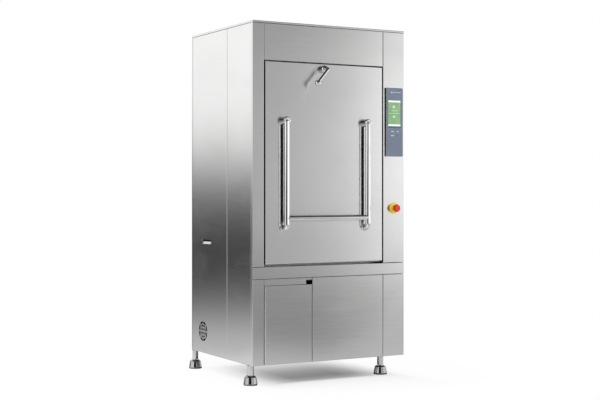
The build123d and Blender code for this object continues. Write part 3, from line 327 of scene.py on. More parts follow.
displayLook = {"dark": (0.18, 0.36, 0.16, 1.0), "pale": (0.27, 0.46, 0.235, 1.0), "raster": 900.0,
               "glow": 26.0, "lit": 0.18, "rough": 0.16}
barLook = {"dark": (0.84, 0.88, 0.82, 1.0), "pale": (0.92, 0.95, 0.90, 1.0), "raster": 900.0,
           "glow": 30.0, "lit": 0.22, "rough": 0.18}
markLook = {"dark": (0.52, 0.72, 0.46, 1.0), "pale": (0.66, 0.82, 0.60, 1.0), "raster": 900.0,
            "glow": 60.0, "lit": 0.15, "rough": 0.18}

finishPlan = (
    (steelFinish, {"panelSteel": panelSteelLook, "doorSteel": doorSteelLook, "columnSteel": columnSteelLook,
                   "legSteel": legSteelLook, "footSteel": footSteelLook, "lidSteel": lidSteelLook,
                   "innerSteel": innerSteelLook}),
    (pullFinish, {"pullSteel": pullPaintedShadeLook}),
    (zincFinish, {"zincSteel": zincLook}),
    (polishedFinish, {"chrome": chromeLook, "handleChrome": handleChromeLook, "nickel": nickelLook}),
    (castFinish, {"castMetal": castLook}),
    (mouldedFinish, {"fascia": fasciaLook, "keyPad": keyLook, "printLight": printLightLook,
                     "printDark": printDarkLook, "stopYellow": stopYellowLook, "stopRed": stopRedLook,
                     "blackPlastic": blackPlasticLook, "rubber": rubberLook}),
    (displayFinish, {"display": displayLook, "displayBar": barLook, "displayMark": markLook}))
finishes = {name: makeFinish(name, drawFinish, look)
            for drawFinish, looks in finishPlan for name, look in looks.items()}

slotFinishes = {
    "panel_steel": "panelSteel", "inner_steel": "innerSteel", "frame_steel": "zincSteel", "chrome": "chrome",
    "brass_nickel": "nickel", "gasket_rubber": "rubber", "fascia_plastic": "fascia", "screen": "display",
    "stop_yellow": "stopYellow", "stop_red": "stopRed", "black_plastic": "blackPlastic",
    "cast_aluminium": "castMetal"}
nodeFinishes = {  # nodes that differ from their slot
    "handle_tubes": "handleChrome", "door_skin": "doorSteel", "top_cover": "lidSteel",
    "leg_tubes": "legSteel", "side_pull_cups": "pullSteel", "upper_control_column": "columnSteel"}
for corner in footCorners:
    nodeFinishes["foot_" + corner] = "footSteel"

for row in frame["record"]["subparts"]:
    finish = nodeFinishes.get(row["node"], slotFinishes[row["material_slot"]])
    for place in cadNodes[row["node"]].material_slots:
        place.material = finishes[finish]
print("finishes set:", len(finishes))


# mesh helpers
def placeObject(name, data):
    thing = bpy.data.objects.new(name, data)
    bpy.context.scene.collection.objects.link(thing)
    return thing


def meshFrom(name, bm, mat):
    mesh = bpy.data.meshes.new(name)
    bm.to_mesh(mesh)
    bm.free()
    mesh.materials.append(mat)
    return mesh


mergeDistance = 1e-6  # points nearer than this are one


def keepMesh(name, bm, finish, body, smoothAngle=None):
    bmesh.ops.remove_doubles(bm, verts=bm.verts, dist=mergeDistance)
    bmesh.ops.recalc_face_normals(bm, faces=bm.faces)
    mesh = meshFrom(name, bm, finishes[finish])
    if smoothAngle is not None:
        mesh.shade_smooth()
        mesh.set_sharp_from_angle(angle=math.radians(smoothAngle))
    piece = placeObject(name, mesh)
    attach(piece, body)
    return piece


# faces between neighbouring loops of points; closed joins the last loop to the first
def bridgeLoops(bm, loops, closed):
    others = loops[1:] + loops[:1] if closed else loops[1:]
    for here, there in zip(loops, others):
        for spot in range(len(here)):
            follow = (spot + 1) % len(here)
            bm.faces.new((here[spot], here[follow], there[follow], there[spot]))


# a ring turned about an axis: the profile is a closed loop of (radius, distance along the axis)
def turnedRing(bm, centre, axis, profile, steps):
    turn = Vector((0, 0, 1)).rotation_difference(Vector(axis)).to_matrix()
    loops = []
    for radius, along in profile:
        loop = []
        for step in range(steps):
            angle = 2 * math.pi * step / steps
            spot = Vector((radius * math.cos(angle), radius * math.sin(angle), along))
            loop.append(bm.verts.new(Vector(centre) + turn @ spot))
        loops.append(loop)
    bridgeLoops(bm, loops, closed=True)


def widened(pair, by):
    return (pair[0] - by, pair[1] + by)


def centred(middle, size):
    return (middle - size / 2, middle + size / 2)


# corner points of a rounded rectangle in x and z
def roundedOutline(x, z, radius, cornerSteps=4):
    points = []
    corners = ((x[1] - radius, z[1] - radius, 0), (x[0] + radius, z[1] - radius, 90),
               (x[0] + radius, z[0] + radius, 180), (x[1] - radius, z[0] + radius, 270))
    for middleX, middleZ, start in corners:
        for step in range(cornerSteps + 1):
            angle = math.radians(start + 90 * step / cornerSteps)
            points.append((middleX + radius * math.cos(angle), middleZ + radius * math.sin(angle)))
    return points


def layLoop(bm, outline, y):
    return [bm.verts.new((x, y, z)) for x, z in outline]


# thin films in one piece, each with a softened front edge: an area is (x, z, y of the face it lies on)
def filmPiece(name, areas, film, finish):
    bm = bmesh.new()
    soften = film["soften"]
    for x, z, back in areas:
        front = back - film["thick"]
        outer = roundedOutline(x, z, film["corner"])
        inner = roundedOutline(widened(x, -soften), widened(z, -soften), max(film["corner"] - soften, soften))
        loops = [layLoop(bm, outer, back), layLoop(bm, outer, front + soften), layLoop(bm, inner, front)]
        bridgeLoops(bm, loops, closed=False)
        bm.faces.new(loops[0])
        bm.faces.new(loops[-1])
    keepMesh(name, bm, finish, "cabinet")


# Geometry Nodes: one shape set on every place, its z along the place's own aim
def repeatTree(name, sizes, drawShape):
    tree = bpy.data.node_groups.new(name, "GeometryNodeTree")
    kinds = {"Places": "Geometry", **dict.fromkeys(sizes, "Float"), "Finish": "Material"}
    for label, kind in kinds.items():
        tree.interface.new_socket(label, in_out="INPUT", socket_type="NodeSocket" + kind)
    tree.interface.new_socket("Pieces", in_out="OUTPUT", socket_type="NodeSocketGeometry")
    given = addNode(tree, "NodeGroupInput").outputs
    aim = addNode(tree, "GeometryNodeInputNamedAttribute", {"Name": "aim"}, data_type="FLOAT_VECTOR")
    turn = addNode(tree, "FunctionNodeAlignRotationToVector", {"Vector": aim.outputs["Attribute"]}, axis="Z")
    setOn = addNode(tree, "GeometryNodeInstanceOnPoints", {
        "Points": given["Places"], "Instance": drawShape(tree, given), "Rotation": turn.outputs["Rotation"]})
    realize = addNode(tree, "GeometryNodeRealizeInstances", {"Geometry": setOn.outputs["Instances"]})
    paint = addNode(tree, "GeometryNodeSetMaterial", {
        "Geometry": realize.outputs["Geometry"], "Material": given["Finish"]})
    addNode(tree, "NodeGroupOutput", {"Pieces": paint.outputs["Geometry"]})
    return tree


# places are (point, aim) pairs; the result is one plain mesh on one body
def repeatPiece(name, tree, sizes, places, finish, body):
    mesh = bpy.data.meshes.new(name + "Places")
    mesh.from_pydata([point for point, aim in places], [], [])
    aims = mesh.attributes.new("aim", "FLOAT_VECTOR", "POINT")
    for spot, (point, aim) in enumerate(places):
        aims.data[spot].vector = aim
    carrier = placeObject(name, mesh)
    modifier = carrier.modifiers.new("repeat", "NODES")
    modifier.node_group = tree
    values = dict(sizes, Finish=finishes[finish])
    for item in tree.interface.items_tree:
        if item.in_out == "INPUT" and item.name in values:
            modifier[item.identifier] = values[item.name]
    graph = bpy.context.evaluated_depsgraph_get()
    plain = bpy.data.meshes.new_from_object(carrier.evaluated_get(graph), depsgraph=graph)
    plain.name = name
    carrier.modifiers.remove(modifier)
    carrier.data = plain
    bpy.data.meshes.remove(mesh)
    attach(carrier, body)


def evenly(low, high, pitch):
    count = max(1, round((high - low) / pitch))
    return [low + (high - low) * step / count for step in range(count + 1)]


# a screw head with a round recess, standing on z = 0
screwShape = {"sides": 18, "top": 0.78, "recess": 0.55, "sink": -0.6}  # shares of the head's sizes


def drawScrew(tree, given):
    radius, height = given["Head radius"], given["Head height"]
    head = addNode(tree, "GeometryNodeMeshCone", {
        "Vertices": screwShape["sides"], "Radius Bottom": radius, "Depth": height,
        "Radius Top": combine(tree, "MULTIPLY", radius, screwShape["top"])}).outputs
    inset = addNode(tree, "GeometryNodeExtrudeMesh", {
        "Mesh": head["Mesh"], "Selection": head["Top"], "Offset Scale": 0.0, "Individual": False},
        mode="FACES").outputs
    narrow = addNode(tree, "GeometryNodeScaleElements", {
        "Geometry": inset["Mesh"], "Selection": inset["Top"], "Scale": screwShape["recess"]}, domain="FACE")
    sink = addNode(tree, "GeometryNodeExtrudeMesh", {
        "Mesh": narrow.outputs["Geometry"], "Selection": inset["Top"], "Individual": False,
        "Offset Scale": combine(tree, "MULTIPLY", height, screwShape["sink"])}, mode="FACES")
    return sink.outputs["Mesh"]


# screws that hold the back, the sides and the lid
screwSizes = {"Head radius": 0.0055, "Head height": 0.0028}
screwPlan = {"backEdge": 0.020, "backPitch": 0.22, "sideFromEdge": 0.011, "sideInsets": (0.045, 0.121),
             "lidInset": 0.030, "lidPitch": 0.3}
sidePanels = ("left_front_side_panel", "left_rear_side_panel", "right_front_side_panel",
              "right_rear_side_panel")


def screwPlaces():
    places = []
    low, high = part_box("back_panel")
    edge = screwPlan["backEdge"]
    for z in evenly(low.z + edge, high.z - edge, screwPlan["backPitch"]):
        for x in (low.x + edge, high.x - edge):
            places.append(((x, high.y, z), (0, 1, 0)))
    for x in evenly(low.x + edge, high.x - edge, screwPlan["backPitch"])[1:-1]:
        for z in (low.z + edge, high.z - edge):
            places.append(((x, high.y, z), (0, 1, 0)))
    for node in sidePanels:
        low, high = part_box(node)
        edge = screwPlan["sideFromEdge"]
        x = low.x + edge if "left" in node else high.x - edge
        for inset in screwPlan["sideInsets"]:
            y = low.y + inset if "front" in node else high.y - inset
            places.append(((x, y, low.z), (0, 0, -1)))
    low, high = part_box("top_cover")
    inset = screwPlan["lidInset"]
    for x in evenly(low.x + inset, high.x - inset, screwPlan["lidPitch"]):
        for y in (low.y + inset, high.y - inset):
            places.append(((x, y, high.z), (0, 0, 1)))
    return places


screwTree = repeatTree("screwTree", screwSizes, drawScrew)
repeatPiece("panelScrews", screwTree, screwSizes, screwPlaces(), "chrome", "cabinet")

# a ring of round wire about z
ringShape = {"steps": 32, "wireSteps": 6}


def drawCircle(tree, steps, radius):
    circle = addNode(tree, "GeometryNodeCurvePrimitiveCircle", {"Resolution": steps, "Radius": radius})
    return circle.outputs["Curve"]


def drawRing(tree, given):
    sweep = addNode(tree, "GeometryNodeCurveToMesh", {
        "Curve": drawCircle(tree, ringShape["steps"], given["Ring radius"]),
        "Profile Curve": drawCircle(tree, ringShape["wireSteps"], given["Wire radius"])})
    smooth = addNode(tree, "GeometryNodeSetShadeSmooth", {"Geometry": sweep.outputs["Mesh"]})
    return smooth.outputs["Geometry"]


# threads on the water inlets and on the necks of the feet
inletThread = {"Ring radius": 0.0131, "Wire radius": 0.0007}
inletPlan = {"pitch": 0.0018, "start": 0.010, "end": 0.039}
ringTree = repeatTree("ringTree", inletThread, drawRing)
places = []
for mount in frame["record"]["mounts"]:
    if not mount["name"].endswith("_inlet"):
        continue
    x, y, z = mount["pos_m"]
    low = y - mount["dims"]["length_mm"] / 2000  # half the length, in metres
    for along in evenly(low + inletPlan["start"], low + inletPlan["end"], inletPlan["pitch"]):
        places.append(((x, along, z), (0, 1, 0)))
repeatPiece("inletThreads", ringTree, inletThread, places, "nickel", "cabinet")

footThread = {"Ring radius": 0.0080, "Wire radius": 0.0006}
footPlan = {"pitch": 0.0018, "low": 0.0495, "high": 0.0515}
for corner in footCorners:
    low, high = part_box("foot_" + corner)
    middle = (low + high) / 2
    places = [((middle.x, middle.y, z), (0, 0, 1))
              for z in evenly(footPlan["low"], footPlan["high"], footPlan["pitch"])]
    repeatPiece(corner + "FootThread", ringTree, footThread, places, "chrome", corner + "_foot")

# nozzles on the spray arms, over the holes drilled in them
jetSizes = {"Ring radius": 0.0042, "Wire radius": 0.0011}
jetPlan = {"count": 6, "first": 0.060, "last": 0.265, "face": 0.008}
jetStep = (jetPlan["last"] - jetPlan["first"]) / (jetPlan["count"] - 1)
for body, node, upward in (("lower_arm", "lower_spray_arm", 1), ("upper_arm", "upper_spray_arm", -1)):
    low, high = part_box(node)
    middle = (low + high) / 2
    face = middle.z + upward * jetPlan["face"]
    places = []
    for number in range(jetPlan["count"]):
        for side in (-1, 1):
            x = middle.x + side * (jetPlan["first"] + number * jetStep)
            places.append(((x, middle.y, face), (0, 0, upward)))
    repeatPiece(body + "Jets", ringTree, jetSizes, places, "innerSteel", body)

# grip ribs round the stop button's head, each long in its own z
ribSizes = {"Rib radius": 0.0011, "Rib length": 0.0070}
ribPlan = {"count": 28, "behindFace": 0.0125, "sides": 8}


def drawRib(tree, given):
    rib = addNode(tree, "GeometryNodeMeshCylinder", {
        "Vertices": ribPlan["sides"], "Radius": given["Rib radius"], "Depth": given["Rib length"]})
    return rib.outputs["Mesh"]


low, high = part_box("estop_head")
stopMiddle = (low + high) / 2
stopRadius = (high.x - low.x) / 2
ribTree = repeatTree("ribTree", ribSizes, drawRib)
places = []
for number in range(ribPlan["count"]):
    angle = 2 * math.pi * number / ribPlan["count"]
    spot = (stopMiddle.x + stopRadius * math.cos(angle), low.y + ribPlan["behindFace"],
            stopMiddle.z + stopRadius * math.sin(angle))
    places.append((spot, (0, 1, 0)))
repeatPiece("stopGrip", ribTree, ribSizes, places, "stopRed", "stop_button")

# membrane keys with round corners in the lower field of the fascia
keySizes = {"Key width": 0.028, "Key height": 0.015, "Key corner": 0.003, "Key rise": 0.0007}
keyPlan = {"columns": 2, "rows": 2, "left": 0.038, "fromTop": 0.243, "stepX": 0.034, "stepZ": 0.023,
           "cornerSteps": 4, "top": 0.9}


def drawKey(tree, given):
    outline = addNode(tree, "GeometryNodeCurvePrimitiveQuadrilateral", {
        "Width": given["Key width"], "Height": given["Key height"]})
    corner = addNode(tree, "GeometryNodeFilletCurve", {
        "Curve": outline.outputs["Curve"], "Count": keyPlan["cornerSteps"], "Radius": given["Key corner"]},
        mode="POLY")
    fill = addNode(tree, "GeometryNodeFillCurve", {"Curve": corner.outputs["Curve"]}, mode="NGONS")
    lifted = addNode(tree, "GeometryNodeExtrudeMesh", {
        "Mesh": fill.outputs["Mesh"], "Offset Scale": given["Key rise"], "Individual": False},
        mode="FACES").outputs
    narrow = addNode(tree, "GeometryNodeScaleElements", {
        "Geometry": lifted["Mesh"], "Selection": lifted["Top"], "Scale": keyPlan["top"]}, domain="FACE")
    return narrow.outputs["Geometry"]


fasciaLow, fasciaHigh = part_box("control_fascia")
keyTree = repeatTree("keyTree", keySizes, drawKey)
places = []
for column in range(keyPlan["columns"]):
    for row in range(keyPlan["rows"]):
        places.append(((fasciaLow.x + keyPlan["left"] + column * keyPlan["stepX"], fasciaLow.y,
                        fasciaHigh.z - keyPlan["fromTop"] - row * keyPlan["stepZ"]), (0, -1, 0)))
repeatPiece("fasciaKeys", keyTree, keySizes, places, "keyPad", "cabinet")
print("repeated pieces done")

# display graphics: bars at both ends and plain marks, as thin films on the glass
screenFilm = {"thick": 0.0004, "corner": 0.0012, "soften": 0.0002}
screenPlan = {"barHeight": 0.010, "barInset": 0.001, "split": 0.0022,
              "marks": ((0.46, 0.75, 0.018, 0.013), (0.46, 0.37, 0.016, 0.011), (0.50, 0.60, 0.040, 0.003))}
screenLow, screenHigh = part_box("touch_screen")
wide = widened((screenLow.x, screenHigh.x), -screenPlan["barInset"])
inset, tall = screenPlan["barInset"], screenPlan["barHeight"]
bars = [(wide, (screenHigh.z - inset - tall, screenHigh.z - inset), screenLow.y),
        (wide, (screenLow.z + inset, screenLow.z + inset + tall), screenLow.y)]
filmPiece("screenBars", bars, screenFilm, "displayBar")
marks = [(wide, centred((screenLow.z + screenHigh.z) / 2, screenPlan["split"]), screenLow.y)]
for across, up, width, height in screenPlan["marks"]:
    x = screenLow.x + across * (screenHigh.x - screenLow.x)
    z = screenLow.z + up * (screenHigh.z - screenLow.z)
    marks.append((centred(x, width), centred(z, height), screenLow.y))
filmPiece("screenMarks", marks, screenFilm, "displayMark")

# marks on the fascia and on its keys, printed, except "line", a dark strip of painted shade just beneath the
# screen: (distance from the left, distance from the top, width, height)
printFilm = {"thick": 0.0004, "corner": 0.0010, "soften": 0.0002}
printPlan = {
    "header": ((0.033, 0.0255, 0.010, 0.009), (0.050, 0.025, 0.014, 0.005), (0.067, 0.025, 0.014, 0.005),
               (0.084, 0.025, 0.014, 0.005)),
    "keys": ((0.038, 0.243, 0.020, 0.005), (0.038, 0.266, 0.022, 0.005), (0.072, 0.243, 0.007, 0.007)),
    "line": ((0.0515, 0.2205, 0.084, 0.0035),), "stopKey": ((0.072, 0.266, 0.012, 0.005),)}


def printAreas(group, rise=0.0):
    return [(centred(fasciaLow.x + across, width), centred(fasciaHigh.z - down, height), fasciaLow.y - rise)
            for across, down, width, height in printPlan[group]]


keyRise = keySizes["Key rise"]
filmPiece("fasciaMarks", printAreas("header") + printAreas("keys", keyRise), printFilm, "printLight")
# the dark film: painted shade beneath the screen, and a printed mark on a key
filmPiece("fasciaLines", printAreas("line") + printAreas("stopKey", keyRise), printFilm, "printDark")

# polished rim round the fascia
rimPlan = {"thick": 0.0009, "outerCorner": 0.0045, "gap": 0.0001, "innerCorner": 0.0040, "cornerSteps": 5,
           "setBack": 0.0015, "smooth": 30}
fasciaX, fasciaZ = (fasciaLow.x, fasciaHigh.x), (fasciaLow.z, fasciaHigh.z)
outer = roundedOutline(widened(fasciaX, rimPlan["thick"]), widened(fasciaZ, rimPlan["thick"]),
                       rimPlan["outerCorner"], rimPlan["cornerSteps"])
inner = roundedOutline(widened(fasciaX, rimPlan["gap"]), widened(fasciaZ, rimPlan["gap"]),
                       rimPlan["innerCorner"], rimPlan["cornerSteps"])
frontY, backY = fasciaLow.y + rimPlan["setBack"], fasciaHigh.y
bm = bmesh.new()
bridgeLoops(bm, [layLoop(bm, outline, y) for outline, y in (
    (inner, frontY), (outer, frontY), (outer, backY), (inner, backY))], closed=True)
keepMesh("fasciaRim", bm, "chrome", "cabinet", rimPlan["smooth"])

# rosettes where the handle tubes meet the door; the rounded edge is (drawn in, share of the thickness)
rosettePlan = {"bore": 0.0144, "outer": 0.0205, "thick": 0.0042, "tubeRadius": 0.014, "steps": 48,
               "edge": ((0.0, 0.0), (0.0, 0.45), (0.0012, 0.85), (0.0030, 1.0)), "smooth": 40}
tubeLow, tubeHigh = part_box("handle_tubes")
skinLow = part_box("door_skin")[0]
bore, thick, tubeRadius = (rosettePlan[key] for key in ("bore", "thick", "tubeRadius"))
profile = [(rosettePlan["outer"] - inward, thick * share) for inward, share in rosettePlan["edge"]]
profile = [(bore, 0.0)] + profile + [(bore, thick)]
bm = bmesh.new()
for x in (tubeLow.x + tubeRadius, tubeHigh.x - tubeRadius):
    turnedRing(bm, (x, skinLow.y, tubeLow.z + tubeRadius), (0, -1, 0), profile, rosettePlan["steps"])
keepMesh("handleRosettes", bm, "chrome", "wash_door", rosettePlan["smooth"])

# door seal: a foot and a hollow-looking bulb, swept round the chamber mouth
sealPlan = {"width": 0.016, "corner": 0.044, "cornerSteps": 10, "smooth": 50,
            "profile": ((0.10, 1.00), (0.10, 0.80), (0.28, 0.66), (0.14, 0.42), (0.24, 0.14), (0.50, 0.03),
                        (0.76, 0.14), (0.86, 0.42), (0.72, 0.66), (0.90, 0.80), (0.90, 1.00))}
gasketLow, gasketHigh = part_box("door_gasket")
depth = gasketHigh.y - gasketLow.y
bm = bmesh.new()
loops = []
for across, along in sealPlan["profile"]:
    shift = across * sealPlan["width"]
    outline = roundedOutline(widened((gasketLow.x, gasketHigh.x), -shift),
                             widened((gasketLow.z, gasketHigh.z), -shift),
                             sealPlan["corner"] + sealPlan["width"] - shift, sealPlan["cornerSteps"])
    loops.append(layLoop(bm, outline, gasketLow.y + along * depth))
bridgeLoops(bm, loops, closed=True)
seal = keepMesh("doorSeal", bm, "rubber", "cabinet", sealPlan["smooth"])
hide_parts("door_gasket")
print("modelled pieces done")


# the set: a pale floor that keeps the shadow, and a wall of soft light and dark for the metal to mirror
def emptyMaterial(name):
    mat = bpy.data.materials.new(name)
    mat.use_nodes = True
    mat.node_tree.nodes.clear()
    return mat, mat.node_tree


def mixShaders(tree, share, first, second):
    return addNode(tree, "ShaderNodeMixShader", {0: share, 1: first, 2: second}).outputs["Shader"]


def whiteGlow(tree, strength):
    return addNode(tree, "ShaderNodeEmission", {"Color": grey(1.0), "Strength": strength}).outputs["Emission"]


# a grey level read off stops of (place, level)
def levelRamp(tree, value, stops):
    low, high = stops[0][0], stops[-1][0]
    ramp = addNode(tree, "ShaderNodeValToRGB", {"Fac": remap(tree, value, 0.0, 1.0, low, high)})
    points = ramp.color_ramp.elements
    while len(points) < len(stops):
        points.new(0.5)  # set to its place below
    for point, (place, level) in zip(points, stops):
        point.position = (place - low) / (high - low)
        point.color = grey(level)
    return addNode(tree, "ShaderNodeSeparateColor", {"Color": ramp.outputs["Color"]}).outputs["Red"]


# what the metal mirrors: azimuth 0 is straight out of the front and grows to the right; heights are metres
# up the wall, reaches are metres out over the floor
mirrorPlan = {
    "wallRound": ((-180, 0.95), (-150, 1.00), (-100, 1.00), (-86, 1.45), (-67, 1.45), (-54, 0.02),
                  (-14, 0.02), (-8, 0.95), (12, 0.90), (18, 0.60), (22, 0.55), (27, 0.65), (29.8, 0.79),
                  (33, 1.04), (35, 1.42), (60, 1.30), (120, 1.10), (180, 0.95)),
    "floorRound": ((-180, 0.95), (-150, 1.00), (-78, 1.00), (-60, 0.92), (0, 0.85), (9, 0.68), (16, 0.48),
                   (23, 0.48), (27, 0.56), (30, 0.66), (33, 0.79), (35, 0.90), (60, 0.95), (120, 0.95),
                   (180, 0.95)),
    "wall": ((0.0, 0.05), (0.4, 0.05), (0.65, 0.09), (0.96, 0.22), (1.26, 0.52), (1.57, 0.93), (1.87, 1.12),
             (2.2, 1.22), (3.3, 1.28), (4.2, 0.85), (11.0, 0.80), (13.0, 0.05)),
    "floor": ((0.0, 1.10), (0.9, 1.05), (1.4, 0.76), (2.05, 0.62), (2.75, 0.50), (3.6, 0.37), (4.7, 0.24),
              (6.0, 0.14), (9.0, 0.06)),
    "near": {"from": 1.0, "to": 2.2, "level": 0.82},
    "under": {"level": 0.05, "fade": 0.12}}
# sectors with levels of their own: "edge" is the fade on both sides in degrees, "round" keeps the level round
# the set as well
darkTop = ((11.0, 0.75), (13.0, 0.05))
frontSector = {
    "from": -20, "to": 140, "edge": 14, "round": True,
    "wall": ((0.0, 0.75), (0.15, 0.79), (0.4, 0.91), (0.65, 1.00), (1.9, 1.03), (2.3, 0.97), (2.8, 0.84),
             (3.3, 0.72), (3.9, 0.60), (5.0, 0.50), (6.2, 0.05), (12.0, 0.05)),
    "floor": ((0.0, 0.85), (1.2, 0.80), (1.6, 0.72), (2.7, 0.63), (4.2, 0.60), (7.7, 0.68), (9.0, 0.80))}
cornerSector = {
    "from": -82, "to": -74, "edge": 4, "round": False,
    "wall": ((0.0, 1.45), (3.4, 1.45), (4.5, 0.80)) + darkTop,
    "floor": ((0.0, 0.95), (1.2, 0.85), (2.7, 0.64), (4.7, 0.54), (9.0, 0.50))}
cornerFloor = {
    "from": -70, "to": -24, "edge": 6, "round": False, "wall": None, "floor": cornerSector["floor"]}
leftSector = {
    "from": -98, "to": -86, "edge": 4, "round": False,
    "wall": ((0.0, 0.95), (3.0, 0.95), (9.0, 0.75)) + darkTop,
    "floor": ((0.0, 0.95), (2.7, 0.66), (9.0, 0.60))}
softBox = {
    "from": -126, "to": -103, "edge": 4, "round": False,
    "wall": ((0.0, 1.25), (2.8, 1.30), (3.6, 0.80)) + darkTop,
    "floor": ((0.0, 0.95), (3.0, 0.72), (9.0, 0.80))}
mirrorSectors = (frontSector, cornerSector, cornerFloor, leftSector, softBox)


# how far a floor point lies outside the cabinet's footprint, drawn in by the inset
def awayFromCabinet(tree, axes, inset=0.0):
    beyond = []
    for axis, low, high in (("X", sideLow.x, sideHigh.x), ("Y", sideLow.y, sideHigh.y)):
        outside = combine(tree, "SUBTRACT", fromMiddle(tree, axes[axis], low, high), (high - low) / 2 - inset)
        beyond.append(combine(tree, "POWER", combine(tree, "MAXIMUM", outside, 0.0), 2.0))
    return combine(tree, "SQRT", combine(tree, "ADD", *beyond))


def mirrorLevel(tree, spot, surface):
    axes = axesOf(tree, spot)
    azimuth = combine(tree, "ARCTAN2", axes["X"], combine(tree, "MULTIPLY", axes["Y"], -1.0))
    azimuth = combine(tree, "MULTIPLY", azimuth, 180 / math.pi)
    aroundLevel = levelRamp(tree, azimuth, mirrorPlan[surface + "Round"])
    value = axes["Z"]
    if surface == "floor":
        value = addNode(tree, "ShaderNodeVectorMath", {0: spot}, operation="LENGTH").outputs["Value"]
        near = mirrorPlan["near"]
        nearShare = remap(tree, value, 1.0, 0.0, near["from"], near["to"])
        aroundLevel = mixValues(tree, "FLOAT", nearShare, aroundLevel, near["level"])
    level = combine(tree, "MULTIPLY", levelRamp(tree, value, mirrorPlan[surface]), aroundLevel)
    for sector in mirrorSectors:
        if not sector[surface]:
            continue
        opened = remap(tree, azimuth, 0.0, 1.0, sector["from"] - sector["edge"], sector["from"])
        closed = remap(tree, azimuth, 1.0, 0.0, sector["to"], sector["to"] + sector["edge"])
        own = levelRamp(tree, value, sector[surface])
        if sector["round"]:
            own = combine(tree, "MULTIPLY", own, aroundLevel)
        level = mixValues(tree, "FLOAT", combine(tree, "MULTIPLY", opened, closed), level, own)
    # painted shadow: the floor as the metal mirrors it goes near dark under the cabinet
    if surface == "floor":
        shade = mirrorPlan["under"]
        away = remap(tree, awayFromCabinet(tree, axes), shade["level"], 1.0, 0.0, shade["fade"])
        level = combine(tree, "MULTIPLY", level, away)
    return level


# the floor is white to the eye away from the cabinet; near it a white glow is painted light over its diffuse
# shading, so the real shadow shows only where the glow is low, and to the metal it glows at its own painted
# level; "under" runs from front to back, lighter towards the back, "across" from left to right, lighter
# towards the sides, "around" outwards
floorPlan = {"radius": 9.0, "steps": 96, "colour": grey(0.80), "inset": 0.03,
             "under": ((-0.36, 0.13), (-0.20, 0.15), (0.0, 0.28), (0.10, 0.39), (0.20, 0.52), (0.30, 0.63),
                       (0.43, 0.75)),
             "across": ((-0.60, 0.98), (-0.46, 0.92), (-0.40, 0.80), (-0.33, 0.60), (-0.25, 0.24),
                        (-0.16, 0.03), (0.16, 0.0), (0.26, 0.14), (0.37, 0.55), (0.47, 0.91), (0.60, 0.98)),
             "around": ((0.0, 0.0), (0.012, 0.28), (0.03, 0.52), (0.05, 0.68), (0.10, 0.81), (0.17, 0.85),
                        (0.28, 0.91), (0.60, 1.0))}
mat, tree = emptyMaterial("paleFloor")
spot = objectSpot(tree)
axes = axesOf(tree, spot)
path = addNode(tree, "ShaderNodeLightPath").outputs
under = levelRamp(tree, axes["Y"], floorPlan["under"])
across = levelRamp(tree, axes["X"], floorPlan["across"])
around = levelRamp(tree, awayFromCabinet(tree, axes, floorPlan["inset"]), floorPlan["around"])
# painted light: the floor's glow to the eye, which leaves the real shadow only where it is low
paintedFloorLight = combine(tree, "MAXIMUM", around, mixValues(tree, "FLOAT", across, under, 1.0))
diffuse = addNode(tree, "ShaderNodeBsdfDiffuse", {"Color": floorPlan["colour"]}).outputs["BSDF"]
paintedFloorLight = combine(tree, "MULTIPLY", paintedFloorLight, path["Is Camera Ray"])
toEye = mixShaders(tree, paintedFloorLight, diffuse, whiteGlow(tree, 1.0))
toMetal = mixShaders(tree, path["Is Glossy Ray"], toEye, whiteGlow(tree, mirrorLevel(tree, spot, "floor")))
addNode(tree, "ShaderNodeOutputMaterial", {"Surface": toMetal})
bm = bmesh.new()
bmesh.ops.create_circle(bm, cap_ends=True, segments=floorPlan["steps"], radius=floorPlan["radius"])
floor = placeObject("floor", meshFrom("floor", bm, mat))

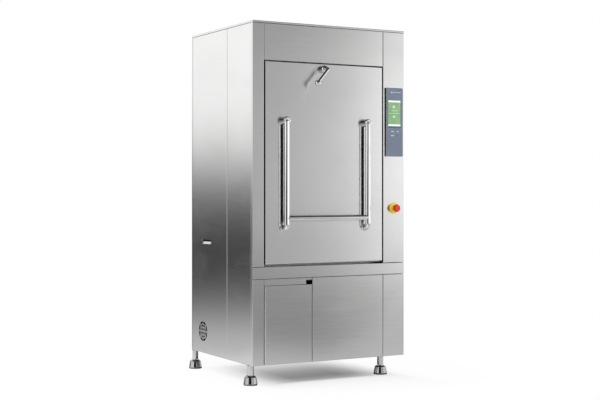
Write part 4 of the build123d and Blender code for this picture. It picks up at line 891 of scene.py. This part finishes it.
wallPlan = {"radius": 9.0, "high": 90.0, "steps": 96}
mat, tree = emptyMaterial("studioWall")
glow = whiteGlow(tree, mirrorLevel(tree, objectSpot(tree), "wall"))
addNode(tree, "ShaderNodeOutputMaterial", {"Surface": glow})
bm = bmesh.new()
bmesh.ops.create_cone(bm, segments=wallPlan["steps"], radius1=wallPlan["radius"], radius2=wallPlan["radius"],
                      depth=wallPlan["high"], matrix=Matrix.Translation((0, 0, wallPlan["high"] / 2)))
bmesh.ops.reverse_faces(bm, faces=bm.faces)
wall = placeObject("studioWall", meshFrom("studioWall", bm, mat))
wall.visible_camera = False
wall.visible_diffuse = False
wall.visible_shadow = False

# world: white to the eye and to mirrors, a little less as light
worldPlan = {"seen": 1.0, "light": 0.62}
world = bpy.data.worlds.new("studioWorld")
bpy.context.scene.world = world
world.use_nodes = True
tree = world.node_tree
tree.nodes.clear()
seen, lighting = (
    addNode(tree, "ShaderNodeBackground", {"Color": grey(1.0), "Strength": worldPlan[key]}).outputs[0]
    for key in ("seen", "light"))
path = addNode(tree, "ShaderNodeLightPath").outputs
plain = combine(tree, "MAXIMUM", path["Is Camera Ray"],
                combine(tree, "MAXIMUM", path["Is Glossy Ray"], path["Is Transmission Ray"]))
addNode(tree, "ShaderNodeOutputWorld", {"Surface": mixShaders(tree, plain, lighting, seen)})

# lamps: a broad key from behind on the left, a weak fill from the front right
lampPlan = {
    "key": {"spot": (-2.6, 1.6, 4.6), "aim": (0.0, 0.0, 0.6), "size": 2.6, "watts": 170.0},
    "fill": {"spot": (2.8, -4.2, 3.4), "aim": (0.0, 0.0, 0.9), "size": 3.0, "watts": 80.0}}
for name, plan in lampPlan.items():
    lamp = bpy.data.lights.new(name, "AREA")
    lamp.shape = "SQUARE"
    lamp.size = plan["size"]
    lamp.energy = plan["watts"]
    holder = placeObject(name, lamp)
    holder.location = plan["spot"]
    towards = Vector(plan["aim"]) - Vector(plan["spot"])
    holder.rotation_euler = towards.to_track_quat("-Z", "Y").to_euler()
    holder.visible_glossy = False

# camera, level and turned to the front left corner
cameraPlan = {"spot": (-3.3422, -6.0455, 1.0227), "turn": -29.068, "lens": 73.05, "sensor": 36.0,
              "shiftY": -0.01473}
lens = bpy.data.cameras.new("camera")
lens.lens = cameraPlan["lens"]
lens.sensor_width = cameraPlan["sensor"]
lens.shift_y = cameraPlan["shiftY"]
camera = placeObject("camera", lens)
camera.location = cameraPlan["spot"]
camera.rotation_euler = (math.radians(90), 0, math.radians(cameraPlan["turn"]))
bpy.context.scene.camera = camera
bpy.context.scene.view_settings.view_transform = "Standard"
print("set, lamps and camera done")
